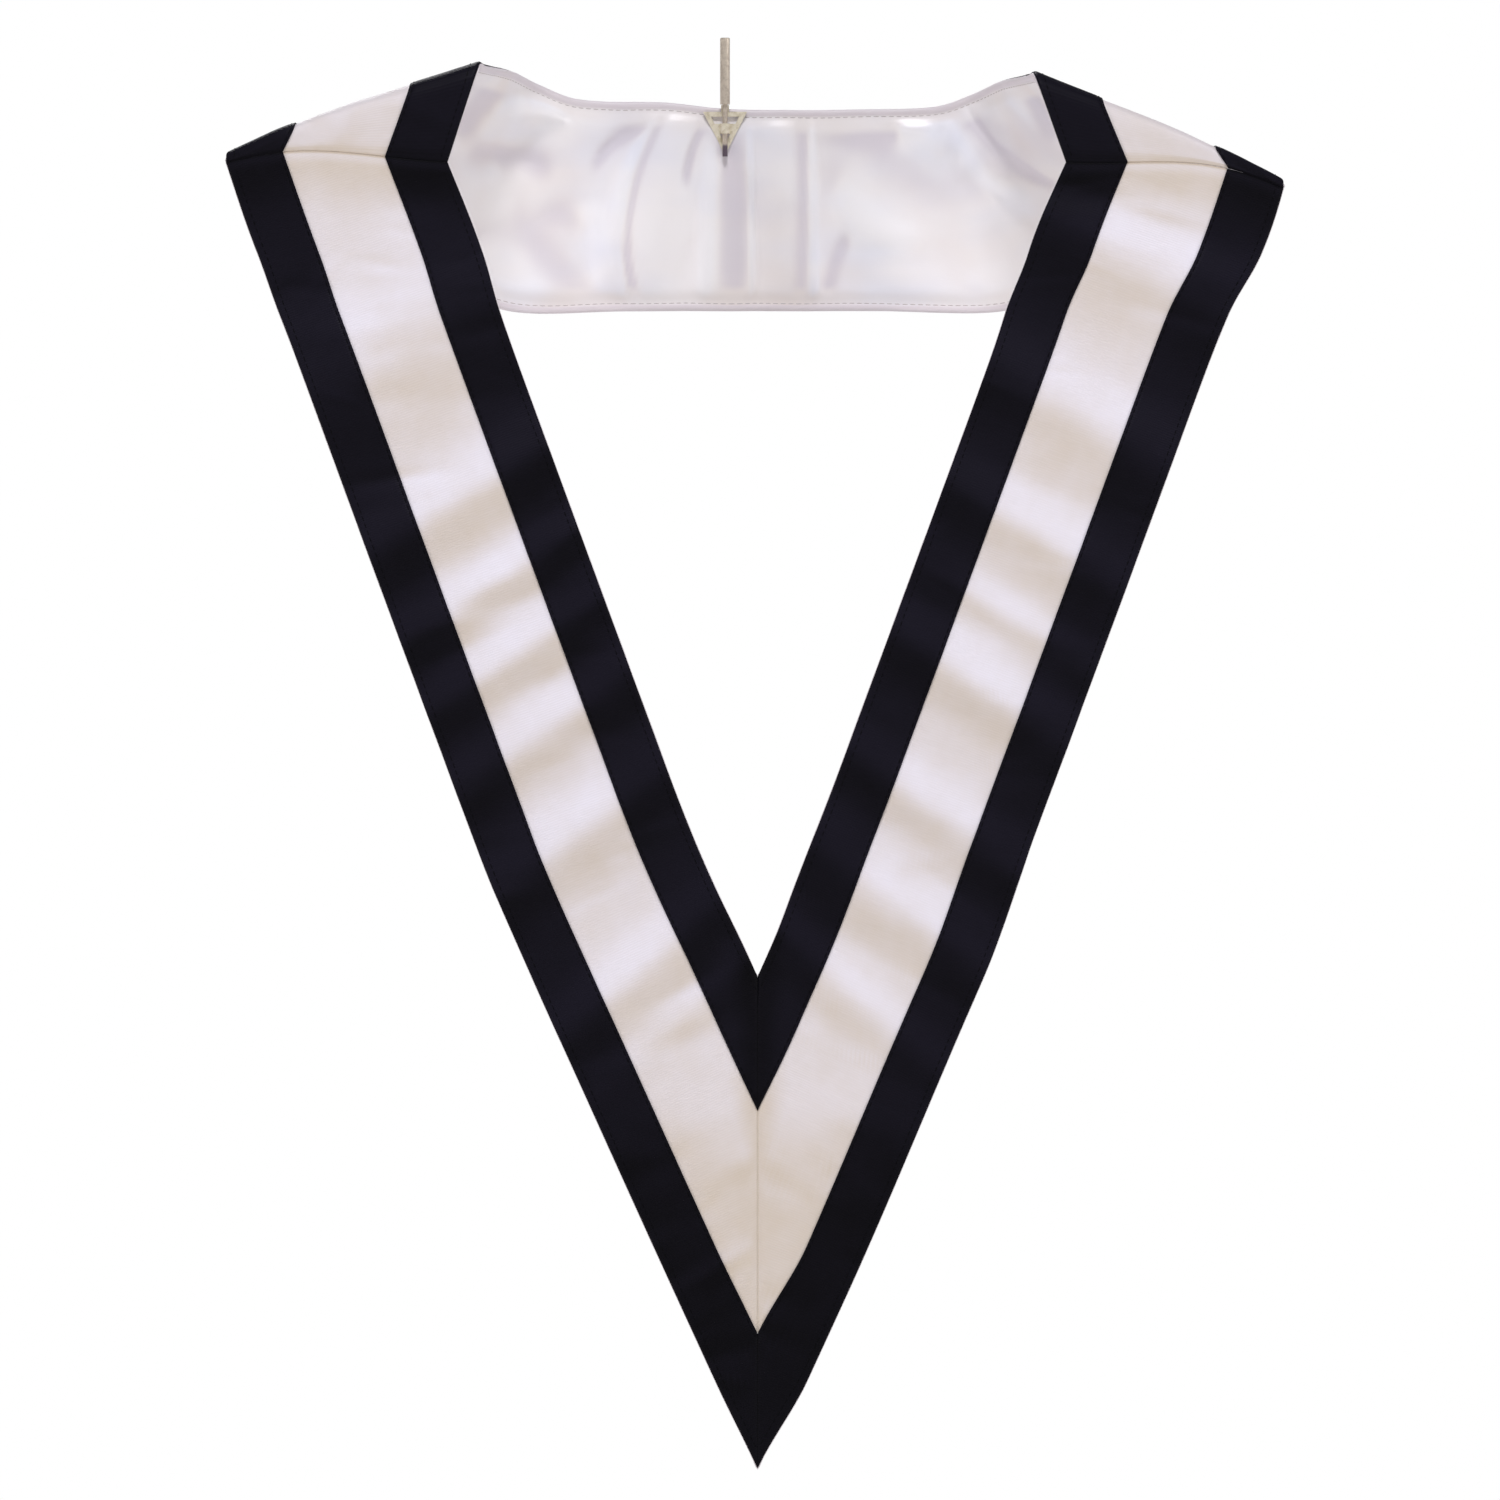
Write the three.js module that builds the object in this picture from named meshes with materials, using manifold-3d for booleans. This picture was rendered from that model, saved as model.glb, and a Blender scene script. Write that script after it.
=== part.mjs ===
// A regalia collar: a V of white ribbon with black borders and a satin lining, held up by a hanging clip.
// Millimetres. X runs to the right as the wearer's front is seen, Y away from the viewer and Z up.
// The origin is the top end of the clip's rod, which is the point that the collar hangs from.

import * as THREE from 'three';
import { mergeGeometries, mergeVertices } from 'three/addons/utils/BufferGeometryUtils.js';
import Module from 'manifold-3d';

// The band, which is the same all the way round
const bandWidth = 101.6;
const borderWidth = 28;
const ribbonWall = 1;
const borderWall = 1;
const liningWall = 1;
const layerGap = 0.3;
const seamGap = 0.3;

// The front legs, measured along the middle of the band from the seam of the V point
const legLength = 540.7;
const legLean = 20.2;
const pointLean = 24.7;
const bendStart = 140;
const bendLength = 80;
const chestBow = 14;
const chestStart = 15.5;
const rippleHeight = 2;
const rippleReach = 16;
const rippleSlant = 10;
const rippleFade = 60;
const flareDrop = 35;
const flareReach = 35;

// How far a leg strays outward at most as it hangs, and how far below the shoulder seams' neck corners its
// two bends sideways begin, are full, fade and are gone. seam: how far they take to grow from the V's seam.
const sway = 4;
const highSway = { from: 45, full: 75, fade: 330, gone: 400 };
const lowSway = { from: 380, full: 560, seam: 20 };

// The neck piece, measured from the level of the shoulder seams' neck corners and from the legs' plane
const crestRise = 47;
const crestCrown = 4;
const crownSkew = 1.4;
const backDepth = 130;
const backNeckRise = 33;
const foldHeight = 3;
const foldReach = 9;
const foldStart = 0.25;
const foldSettle = { from: 0.8, share: 0.6 };
const pinchEnd = 0.5;
const backBegins = 0.8;
const foldSides = { from: 0.8, gone: 1.2 };

// The clip that holds the collar up
const clipOffset = 16.2;
const clipGap = 0.3;
const rodRadius = 2.45;
const rodLength = 33.3;
const shankRadius = 1.25;
const shankLength = 26;
const frameWidth = 22;
const frameHeight = 21.5;
const framePlate = 1.2;
const frameBar = 2.4;
const frameDrop = 1.8;
const sleeveWall = 0.9;
const sleeveLength = 5;
const sleeveDrop = 8.5;
const strapWidth = 4;
const strapDrop = 24;

// How many facets a leg is made of, and where and how closely the cloth's outward side is read
const legFacets = 56;
const slopeStep = 1e-3;
const slopeInside = 0.9;

const BLACK = { color: 0x0b0b10, roughness: 0.6, metalness: 0 };
const WHITE = { color: 0xe6e1dc, roughness: 0.5, metalness: 0 };
const SATIN = { color: 0xe2dfe8, roughness: 0.3, metalness: 0 };
const BRASS = { color: 0xa89a66, roughness: 0.35, metalness: 0.9 };
const STEEL = { color: 0xa0948a, roughness: 0.4, metalness: 0.6 };

// The two sides. sign: which way they lie. seamDroop: how many degrees the shoulder's seam drops towards its
// outer end. seamArch: how far that seam arches up, as a share of crestCrown. crest: share of crestRise.
// flare: how much wider the leg spreads below the shoulder, as a share. swayHigh and swayLow: shares of sway.
const sides = {
  left: {
    sign: -1, seamDroop: 0.1, seamArch: 1.4, crest: 1.05,
    flare: 0.033, swayHigh: 0.3, swayLow: 0.25,
  },
  right: {
    sign: 1, seamDroop: 7.1, seamArch: 1.7, crest: 0.95,
    flare: 0.075, swayHigh: -0.725, swayLow: 1.15,
  },
};

// The ripples across each leg. at: share of the leg below the shoulder seam. rise and reach: shares of
// rippleHeight and rippleReach.
const ripples = {
  left: [
    { at: 0.13, rise: 1.0, reach: 1.3 },
    { at: 0.31, rise: 1.1, reach: 1.1 },
    { at: 0.39, rise: 0.7, reach: 0.8 },
    { at: 0.46, rise: 0.8, reach: 0.8 },
    { at: 0.54, rise: 0.9, reach: 0.9 },
    { at: 0.64, rise: 0.8, reach: 1.1 },
    { at: 0.76, rise: 0.8, reach: 1.1 },
  ],
  right: [
    { at: 0.08, rise: 0.8, reach: 0.9 },
    { at: 0.23, rise: 1.1, reach: 1.3 },
    { at: 0.35, rise: 0.9, reach: 0.9 },
    { at: 0.42, rise: 0.4, reach: 0.7 },
    { at: 0.50, rise: 0.9, reach: 1.0 },
    { at: 0.61, rise: 0.9, reach: 1.0 },
    { at: 0.70, rise: 0.7, reach: 1.0 },
  ],
};

// Sections across half of the neck piece, from the shoulder seam to the middle of the back. out: shares of
// the seam's own corners' distances from the middle. back: shares of backDepth. up: share of the height of
// the side's crest. down: share of the way from the seam's outer corner to the hem. crown: share of crestCrown.
// facets: how many lie between this section and the next.
const sections = [
  {
    facets: 3, crown: 0.8,
    neck: { out: 0.905, back: 0, up: 0.9 },
    outer: { out: 1, back: 0, down: -0.04 },
  },
  {
    facets: 3, crown: 0.8,
    neck: { out: 0.895, back: 0.05, up: 1 },
    outer: { out: 0.999, back: 0.04, down: -0.055 },
  },
  {
    facets: 4, crown: 0.8,
    neck: { out: 0.885, back: 0.1, up: 0.99 },
    outer: { out: 0.985, back: 0.09, down: 0 },
  },
  {
    facets: 4, crown: 1.1,
    neck: { out: 0.865, back: 0.36, up: 1.01 },
    outer: { out: 0.88, back: 0.33, down: 0.27 },
  },
  {
    facets: 4, crown: 0.8,
    neck: { out: 0.8, back: 0.68, up: 1 },
    outer: { out: 0.71, back: 0.69, down: 0.6 },
  },
  {
    facets: 4, crown: 0.2,
    neck: { out: 0.72, back: 0.91, up: 0.9 },
    outer: { out: 0.575, back: 0.93, down: 0.86 },
  },
  {
    facets: 8, crown: 0,
    neck: { out: 0.6, back: 0.99, up: 0.77 },
    outer: { out: 0.475, back: 1, down: 1 },
  },
  {
    facets: 8, crown: 0,
    neck: { out: 0.3, back: 1, up: 0.73 },
    outer: { out: 0.237, back: 1, down: 1 },
  },
];
const seamFacets = 3;

// The folds that run down the back from the clip. top and hem: shares of the back's half width, to the right
// of the clip. rise and reach: shares of foldHeight and foldReach.
const folds = [
  { top: -0.55, hem: -0.90, rise: 0.8, reach: 1.5 },
  { top: -0.20, hem: -0.55, rise: -1.0, reach: 1.2 },
  { top: -0.12, hem: -0.24, rise: 0.8, reach: 0.9 },
  { top: 0.02, hem: 0.04, rise: -0.9, reach: 0.9 },
  { top: 0.12, hem: 0.20, rise: 0.9, reach: 0.8 },
  { top: 0.28, hem: 0.45, rise: -0.7, reach: 1.0 },
  { top: 0.50, hem: 0.70, rise: 0.7, reach: 1.3 },
  { top: 0.85, hem: 1.00, rise: -0.6, reach: 1.6 },
];

const wasm = await Module();
wasm.setup();

const radians = THREE.MathUtils.degToRad;
const borderShare = borderWidth / bandWidth;
const hemLevel = backNeckRise - bandWidth;
const stackInside = ribbonWall + layerGap + liningWall;
const stackOutside = layerGap + borderWall;

/** A smooth hump of height 1 at 0 that dies away at about twice its reach. */
function hump(distance, reach) {
  return Math.exp(-((distance / reach) ** 2));
}

/** 0 below low, 1 above high, and smooth between. */
function rise(value, low, high) {
  return THREE.MathUtils.smoothstep(value, low, high);
}

/** The middle of a leg, t mm up from the V point's seam: straight, an arc, then straight at legLean. */
function legMiddle(t) {
  const [steep, slight] = [radians(pointLean), radians(legLean)];
  const turn = (steep - slight) / bendLength;
  const bent = THREE.MathUtils.clamp(t - bendStart, 0, bendLength);
  const lean = steep - turn * bent;
  const low = Math.min(t, bendStart);
  const high = Math.max(t - bendStart - bendLength, 0);
  const x = low * Math.sin(steep) + (Math.cos(lean) - Math.cos(steep)) / turn + high * Math.sin(lean);
  const z = low * Math.cos(steep) + (Math.sin(steep) - Math.sin(lean)) / turn + high * Math.cos(lean);
  return { x, z, lean };
}

/** A point of a leg in its own plane: t mm up its middle, and out mm from there towards the outer edge. */
function legPlane(t, out) {
  const middle = legMiddle(t);
  return {
    x: middle.x + out * Math.cos(middle.lean),
    z: middle.z - out * Math.sin(middle.lean),
  };
}

const neckCorner = legPlane(legLength, -bandWidth / 2);
const pointCorner = bandWidth / 2 / Math.sin(radians(pointLean)) - neckCorner.z;

/** A point of a side's leg in its own plane, spread a little wider below the shoulder. */
function legPoint(side, t, out) {
  const { x, z } = legPlane(t, out);
  const spread = side.flare * hump(neckCorner.z - z - flareDrop, flareReach);
  return { x: x + out * spread, z };
}

/** The shape of an arch over the band, from 0 at both edges to 1 a little beyond the middle. */
function archAt(across) {
  return Math.sin(Math.PI * across ** crownSkew);
}

/** Where a straight shoulder seam would cross the band, in mm up the leg, out mm from the band's middle. */
function seamAt(side, out) {
  const skew = radians(side.seamDroop - legLean);
  return legLength - (out + bandWidth / 2) * Math.tan(skew);
}

/** How far the chest pushes a leg forward at a height above the shoulder seam's neck corner. */
function bowAt(height) {
  const top = -chestStart;
  const share = THREE.MathUtils.clamp((height - top) / (pointCorner - top), 0, 1);
  return -chestBow * Math.sin(Math.PI * share) ** 2;
}

/** How far a leg strays outward at a height, x mm out from the V point's seam. */
function swayAt(side, height, x) {
  const depth = -height;
  const high = rise(depth, highSway.from, highSway.full) * (1 - rise(depth, highSway.fade, highSway.gone));
  const low = rise(depth, lowSway.from, lowSway.full);
  return sway * (side.swayHigh * high + side.swayLow * low) * rise(x, 0, lowSway.seam);
}

/** How far the ripples lift a leg's surface towards the front, t mm up and out mm from the middle. */
function rippleAt(name, t, out) {
  const down = legLength - t - out * Math.tan(radians(rippleSlant));
  const calm = rise(legLength - t, 0, rippleFade / 2) * rise(t, bendStart - rippleFade, bendStart);
  let lift = 0;
  for (const row of ripples[name]) {
    lift += row.rise * hump(down - row.at * legLength, row.reach * rippleReach);
  }
  return -rippleHeight * lift * calm;
}

/** The surface of a leg, run the way the band runs: up the left leg and down the right. */
function legSurface(name) {
  const side = sides[name];
  return (along, across) => {
    const out = (across - 0.5) * bandWidth;
    const lean = radians(pointLean);
    const low = (seamGap / 2 - out * Math.cos(lean)) / Math.sin(lean);
    const arch = (side.seamArch * crestCrown * archAt(across)) / Math.cos(radians(legLean));
    const high = seamAt(side, out) + arch - seamGap / 2;
    const t = low + (high - low) * (side.sign < 0 ? along : 1 - along);
    const { x, z } = legPoint(side, t, out);
    const height = z - neckCorner.z;
    const swayed = x + swayAt(side, height, x);
    return new THREE.Vector3(side.sign * swayed, bowAt(height) + rippleAt(name, t, out), height);
  };
}

/** The two ends of a shoulder's seam on the neck piece, at the neck edge and at the outer edge. */
function seamEnds(side) {
  return [-1, 1].map((end) => {
    const out = (end * bandWidth) / 2;
    const { x, z } = legPoint(side, seamAt(side, out), out);
    return new THREE.Vector3(side.sign * x, 0, z - neckCorner.z + seamGap / 2);
  });
}

/** One side's sections: their points at the neck and outer edges, and how far they arch up and aside. */
function sideSections(side) {
  const [neck, outer] = seamEnds(side);
  const crown = side.seamArch * crestCrown;
  const aside = side.sign * crown * Math.tan(radians(legLean));
  const rows = [{ neck, outer, crown, aside, facets: seamFacets }];
  for (const row of sections) {
    const up = crestRise * side.crest * row.neck.up;
    const fall = THREE.MathUtils.lerp(outer.z, hemLevel, row.outer.down);
    rows.push({
      neck: new THREE.Vector3(neck.x * row.neck.out, backDepth * row.neck.back, up),
      outer: new THREE.Vector3(outer.x * row.outer.out, backDepth * row.outer.back, fall),
      crown: crestCrown * row.crown,
      aside: 0,
      facets: row.facets,
    });
  }
  return rows;
}

/** The neck piece's edges and its arch as smooth curves through its sections, with the clip's midway. */
function neckPiece() {
  const left = sideSections(sides.left);
  const right = sideSections(sides.right).reverse();
  const middle = {
    neck: new THREE.Vector3(-clipOffset, backDepth, backNeckRise),
    outer: new THREE.Vector3(-clipOffset, backDepth, hemLevel),
    crown: 0,
    aside: 0,
  };
  const rows = [...left, middle, ...right];
  const facets = [...left.map((row) => row.facets), ...right.map((row) => row.facets)];
  const stops = facets.flatMap((count, i) => Array.from({ length: count }, (_, k) => i + k / count));
  return {
    neck: new THREE.CatmullRomCurve3(rows.map((row) => row.neck)),
    outer: new THREE.CatmullRomCurve3(rows.map((row) => row.outer)),
    arch: new THREE.CatmullRomCurve3(rows.map((row, i) => new THREE.Vector3(i, row.aside, row.crown))),
    stops: [...stops, facets.length].map((stop) => stop / facets.length),
    backHalf: Math.abs(left.at(-2).neck.x),
  };
}

const piece = neckPiece();

/** How far the folds below the clip move the back, at a place across it and a share of the way down. */
function foldAt(x, across) {
  const fromClip = x + clipOffset;
  const pinch = hump(fromClip, frameWidth) * (1 - rise(across, foldStart, pinchEnd));
  const settled = 1 - foldSettle.share * rise(across, foldSettle.from, 1);
  const calm = (1 - pinch) * rise(across, 0, foldStart) * settled;
  const inner = 1 - rise(Math.abs(x) / piece.backHalf, foldSides.from, foldSides.gone);
  let lift = 0;
  for (const row of folds) {
    const line = piece.backHalf * THREE.MathUtils.lerp(row.top, row.hem, across);
    lift += row.rise * hump(fromClip - line, row.reach * foldReach);
  }
  return foldHeight * lift * calm * inner;
}

/** The surface of the neck piece, from the left shoulder's seam to the right's, out from the neck edge. */
function neckSurface(along, across) {
  const point = piece.neck.getPoint(along).lerp(piece.outer.getPoint(along), across);
  const arch = piece.arch.getPoint(along).multiplyScalar(archAt(across));
  point.x += arch.y;
  point.z += arch.z;
  const behind = rise(point.y, backDepth * backBegins, backDepth);
  point.y += behind * foldAt(point.x, across);
  return point;
}

/** A surface's point moved off mm along its outward side. The corners use the slopes just inside them. */
function offSurface(surface, along, across, off) {
  const [u, v] = [along, 0.5 + (across - 0.5) * slopeInside];
  const [u0, u1] = [Math.max(u - slopeStep, 0), Math.min(u + slopeStep, 1)];
  const alongSlope = surface(u1, v).sub(surface(u0, v));
  const acrossSlope = surface(u, v + slopeStep).sub(surface(u, v - slopeStep));
  return surface(along, across).addScaledVector(alongSlope.cross(acrossSlope).normalize(), off);
}

/** One face of a cloth wall: a plane's grid laid on the surface at the given stops. */
function clothFace(surface, alongStops, acrossStops, off) {
  const [columns, rows] = [alongStops.length - 1, acrossStops.length - 1];
  const face = new THREE.PlaneGeometry(1, 1, columns, rows);
  const { position, uv } = face.attributes;
  for (let i = 0; i < position.count; i += 1) {
    const along = alongStops[Math.round(uv.getX(i) * columns)];
    const across = acrossStops[Math.round(uv.getY(i) * rows)];
    position.setXYZ(i, ...offSurface(surface, along, across, off).toArray());
  }
  return face;
}

/** The narrow wall round the edge of a cloth wall, from its inside to its outside. */
function clothRim(surface, alongStops, acrossStops, inside, outside) {
  const [first, last] = [acrossStops[0], acrossStops.at(-1)];
  const loop = [
    ...alongStops.map((along) => [along, first]),
    ...acrossStops.slice(1).map((across) => [alongStops.at(-1), across]),
    ...alongStops.slice(0, -1).reverse().map((along) => [along, last]),
    ...acrossStops.slice(0, -1).reverse().map((across) => [alongStops[0], across]),
  ];
  const rim = new THREE.PlaneGeometry(1, 1, loop.length - 1, 1);
  const { position, uv } = rim.attributes;
  for (let i = 0; i < position.count; i += 1) {
    const [along, across] = loop[Math.round(uv.getX(i) * (loop.length - 1))];
    const off = uv.getY(i) > 0.5 ? outside : inside;
    position.setXYZ(i, ...offSurface(surface, along, across, off).toArray());
  }
  return rim;
}

/** A geometry with its faces turned the other way round. */
function turned(geometry) {
  const index = geometry.index.array;
  for (let i = 0; i < index.length; i += 3) {
    [index[i], index[i + 1]] = [index[i + 1], index[i]];
  }
  return geometry;
}

/** A geometry that keeps only its positions, with its shared corners merged. */
function welded(geometry) {
  geometry.deleteAttribute('normal');
  geometry.deleteAttribute('uv');
  return mergeVertices(geometry, 1e-4);
}

/** A closed wall of cloth between two distances from a surface. */
function clothWall(surface, alongStops, acrossStops, inside, outside) {
  const outer = clothFace(surface, alongStops, acrossStops, outside);
  const inner = turned(clothFace(surface, alongStops, acrossStops, inside));
  const rim = clothRim(surface, alongStops, acrossStops, inside, outside);
  const wall = welded(mergeGeometries([outer, inner, rim]));
  wall.computeVertexNormals();
  return wall;
}

/** A geometry as a solid that can be joined and cut. */
function solid(geometry) {
  const shape = welded(geometry.index ? geometry : mergeVertices(geometry));
  const mesh = new wasm.Mesh({
    numProp: 3,
    vertProperties: new Float32Array(shape.attributes.position.array),
    triVerts: new Uint32Array(shape.index.array),
  });
  mesh.merge();
  return new wasm.Manifold(mesh);
}

/** A joined or cut solid as a geometry. */
function geometryOf(manifold) {
  const { vertProperties, triVerts } = manifold.getMesh();
  const geometry = new THREE.BufferGeometry();
  geometry.setAttribute('position', new THREE.BufferAttribute(vertProperties, 3));
  geometry.setIndex(new THREE.BufferAttribute(triVerts, 1));
  geometry.computeVertexNormals();
  return geometry;
}

function named(name, geometry, finish) {
  const mesh = new THREE.Mesh(geometry, new THREE.MeshStandardMaterial(finish));
  mesh.name = name;
  return mesh;
}

/** The layers of one stretch of the band: ribbon, the two borders on its face, and the lining behind. */
function bandPieces(prefix, neckBorder, surface, alongStops, innerStops) {
  const allStops = [0, borderShare, ...innerStops, 1 - borderShare, 1];
  const lining = [-stackInside, -stackInside + liningWall];
  const border = [layerGap, stackOutside];
  return [
    named(`${prefix}_ribbon`, clothWall(surface, alongStops, allStops, -ribbonWall, 0), WHITE),
    named(`${prefix}_lining`, clothWall(surface, alongStops, allStops, ...lining), SATIN),
    named(`${prefix}_${neckBorder}`, clothWall(surface, alongStops, [0, borderShare], ...border), BLACK),
    named(`${prefix}_outer_border`, clothWall(surface, alongStops, [1 - borderShare, 1], ...border), BLACK),
  ];
}

// Where the clip's rod stands: in front of the frame's plate, which lies on the lining of the back
const plateFront = backDepth - stackInside - clipGap - framePlate;
const rodDepth = plateFront - clipGap - shankRadius;
const strapTop = backNeckRise + clipGap + framePlate;
const rodTop = strapTop + clipGap + rodLength;

/** The clip's rod: a thick round bar with a thinner shank below it, turned about the vertical. */
function clipRod() {
  const bevel = rodRadius * 0.15;
  const profile = [
    [0, -rodLength - shankLength],
    [shankRadius, -rodLength - shankLength],
    [shankRadius, -rodLength],
    [rodRadius, -rodLength],
    [rodRadius, -bevel],
    [rodRadius - bevel, 0],
    [0, 0],
  ].map(([radius, height]) => new THREE.Vector2(radius, height));
  const bar = new THREE.LatheGeometry(profile, 16);
  bar.rotateX(Math.PI / 2);
  return welded(bar);
}

/** A triangle that points down, from its width, its height and how far its sides lie inside the frame's. */
function triangle(shape, width, height, inset) {
  const slope = Math.atan2(width / 2, height);
  const side = inset / Math.cos(slope);
  const top = -inset;
  const halfTop = width / 2 + top * Math.tan(slope) - side;
  shape.moveTo(-halfTop, top);
  shape.lineTo(0, top - halfTop / Math.tan(slope));
  shape.lineTo(halfTop, top);
  shape.closePath();
  return shape;
}

/** The clip's frame: a pierced plate with a sleeve for the rod and a strap over the neck edge. */
function clipFrame() {
  const outline = triangle(new THREE.Shape(), frameWidth, frameHeight, 0);
  outline.holes.push(triangle(new THREE.Path(), frameWidth, frameHeight, frameBar));
  const flat = { depth: framePlate, bevelEnabled: false };
  const plateTop = backNeckRise - frameDrop;
  const plate = new THREE.ExtrudeGeometry(outline, flat);
  plate.rotateX(Math.PI / 2).translate(0, plateFront + framePlate, plateTop);

  const clear = shankRadius + clipGap;
  const sleeveRadius = clear + sleeveWall;
  const sleeve = new THREE.CylinderGeometry(sleeveRadius, sleeveRadius, sleeveLength, 16);
  const bore = new THREE.CylinderGeometry(clear, clear, sleeveLength * 2, 16);
  const sleeveLevel = plateTop - sleeveDrop;
  for (const part of [sleeve, bore]) {
    part.rotateX(Math.PI / 2).translate(0, rodDepth, sleeveLevel);
  }
  const rung = new THREE.BoxGeometry(frameWidth / 2, framePlate, sleeveLength);
  rung.translate(0, plateFront + framePlate / 2, sleeveLevel);

  const behind = backDepth + stackOutside + clipGap;
  const front = [plateFront, plateFront + framePlate];
  const strapSide = new THREE.Shape();
  strapSide.moveTo(front[0], plateTop - frameBar);
  strapSide.lineTo(front[1], plateTop - frameBar);
  strapSide.lineTo(front[1], backNeckRise + clipGap);
  strapSide.lineTo(behind, backNeckRise + clipGap);
  strapSide.lineTo(behind, backNeckRise - strapDrop);
  strapSide.lineTo(behind + framePlate, backNeckRise - strapDrop);
  strapSide.lineTo(behind + framePlate, strapTop);
  strapSide.lineTo(front[0], strapTop);
  strapSide.closePath();
  const strap = new THREE.ExtrudeGeometry(strapSide, { depth: strapWidth, bevelEnabled: false });
  const upright = new THREE.Matrix4().makeBasis(
    new THREE.Vector3(0, 1, 0),
    new THREE.Vector3(0, 0, 1),
    new THREE.Vector3(1, 0, 0),
  );
  strap.applyMatrix4(upright).translate(-strapWidth / 2, 0, 0);

  const joined = solid(plate).add(solid(rung)).add(solid(sleeve)).add(solid(strap));
  return geometryOf(joined.subtract(solid(bore)));
}

const legStops = Array.from({ length: legFacets + 1 }, (_, i) => i / legFacets);

const collar = new THREE.Group();
collar.add(
  ...bandPieces('left_front', 'inner_border', legSurface('left'), legStops, []),
  ...bandPieces('right_front', 'inner_border', legSurface('right'), legStops, []),
  ...bandPieces('back', 'neck_border', neckSurface, piece.stops, [0.5]),
);
collar.position.set(clipOffset, -rodDepth, -rodTop);

const clip = new THREE.Group();
const frame = named('clip_frame', clipFrame(), BRASS);
frame.position.set(0, -rodDepth, -rodTop);
clip.add(named('clip_rod', clipRod(), STEEL), frame);

const model = new THREE.Group();
model.add(collar, clip);
export default model;
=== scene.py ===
"""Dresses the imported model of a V-shaped regalia collar that hangs from a clip.

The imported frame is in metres: X to the right of the picture, Y away from the camera, Z up, and the origin at
the top end of the clip's rod. The cloth is worked out in millimetres, as functions of a share along the band
and a share across it, in a frame of its own that is level with the shoulder seams' neck corners.
"""
import logging
import math
from dataclasses import dataclass, field
from enum import Enum
from typing import Any, Callable, Sequence

import bpy
import numpy as np
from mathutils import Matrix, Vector


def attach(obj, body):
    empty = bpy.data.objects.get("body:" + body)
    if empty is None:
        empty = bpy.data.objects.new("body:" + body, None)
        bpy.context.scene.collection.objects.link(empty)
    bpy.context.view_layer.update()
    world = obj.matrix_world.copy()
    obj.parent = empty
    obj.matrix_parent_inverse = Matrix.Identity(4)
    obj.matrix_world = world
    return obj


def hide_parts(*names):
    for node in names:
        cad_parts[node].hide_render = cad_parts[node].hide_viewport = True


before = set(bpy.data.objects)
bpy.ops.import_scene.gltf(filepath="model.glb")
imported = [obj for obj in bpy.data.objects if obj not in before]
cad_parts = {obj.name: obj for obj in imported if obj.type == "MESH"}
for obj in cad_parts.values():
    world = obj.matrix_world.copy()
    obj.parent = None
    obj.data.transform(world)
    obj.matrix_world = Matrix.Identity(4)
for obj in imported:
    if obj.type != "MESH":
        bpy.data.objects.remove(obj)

Array = np.ndarray
Colour = tuple[float, float, float, float]
Relief = Callable[[Array, Array], Array]
Surface = Callable[[Array, Array], Array]

LOG = logging.getLogger("collar")
MM = 0.001
# How many points a line has where its length is measured.
SAMPLES = 4001
# The origin of the cloth's own frame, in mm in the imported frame.
PLACE = np.array([16.2, -124.65, -68.1])
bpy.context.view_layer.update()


class Side(Enum):
    """A front leg's side, as the picture shows it."""

    LEFT = -1
    RIGHT = 1


class Edge(Enum):
    """An edge of the band."""

    NECK = 0
    OUTER = 1


# Shader graphs


class Link:
    """A node's output that takes part in plain arithmetic; every operation adds its Math node."""

    def __init__(self, graph: "Graph", socket: bpy.types.NodeSocket) -> None:
        """Wraps one output socket of a graph."""
        self.graph = graph
        self.socket = socket

    def _math(self, operation: str, *values: Any) -> "Link":
        """Adds a Math node on these values, in order."""
        sockets = dict(enumerate(values))
        return self.graph.add("ShaderNodeMath", {"operation": operation}, sockets)

    def __add__(self, other: Any) -> "Link":
        """self + other."""
        return self._math("ADD", self, other)

    def __sub__(self, other: Any) -> "Link":
        """self - other."""
        return self._math("SUBTRACT", self, other)

    def __rsub__(self, other: Any) -> "Link":
        """other - self."""
        return self._math("SUBTRACT", other, self)

    def __mul__(self, other: Any) -> "Link":
        """self * other."""
        return self._math("MULTIPLY", self, other)

    __radd__ = __add__

    def sine(self) -> "Link":
        """The sine of an angle in radians."""
        return self._math("SINE", self)

    def between(self, low: float, high: float) -> "Link":
        """0 at low, 1 at high, smooth between and level beyond."""
        settings = {"interpolation_type": "SMOOTHSTEP"}
        sockets = {0: self, 1: low, 2: high, 3: 0.0, 4: 1.0}
        return self.graph.add("ShaderNodeMapRange", settings, sockets)


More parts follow.
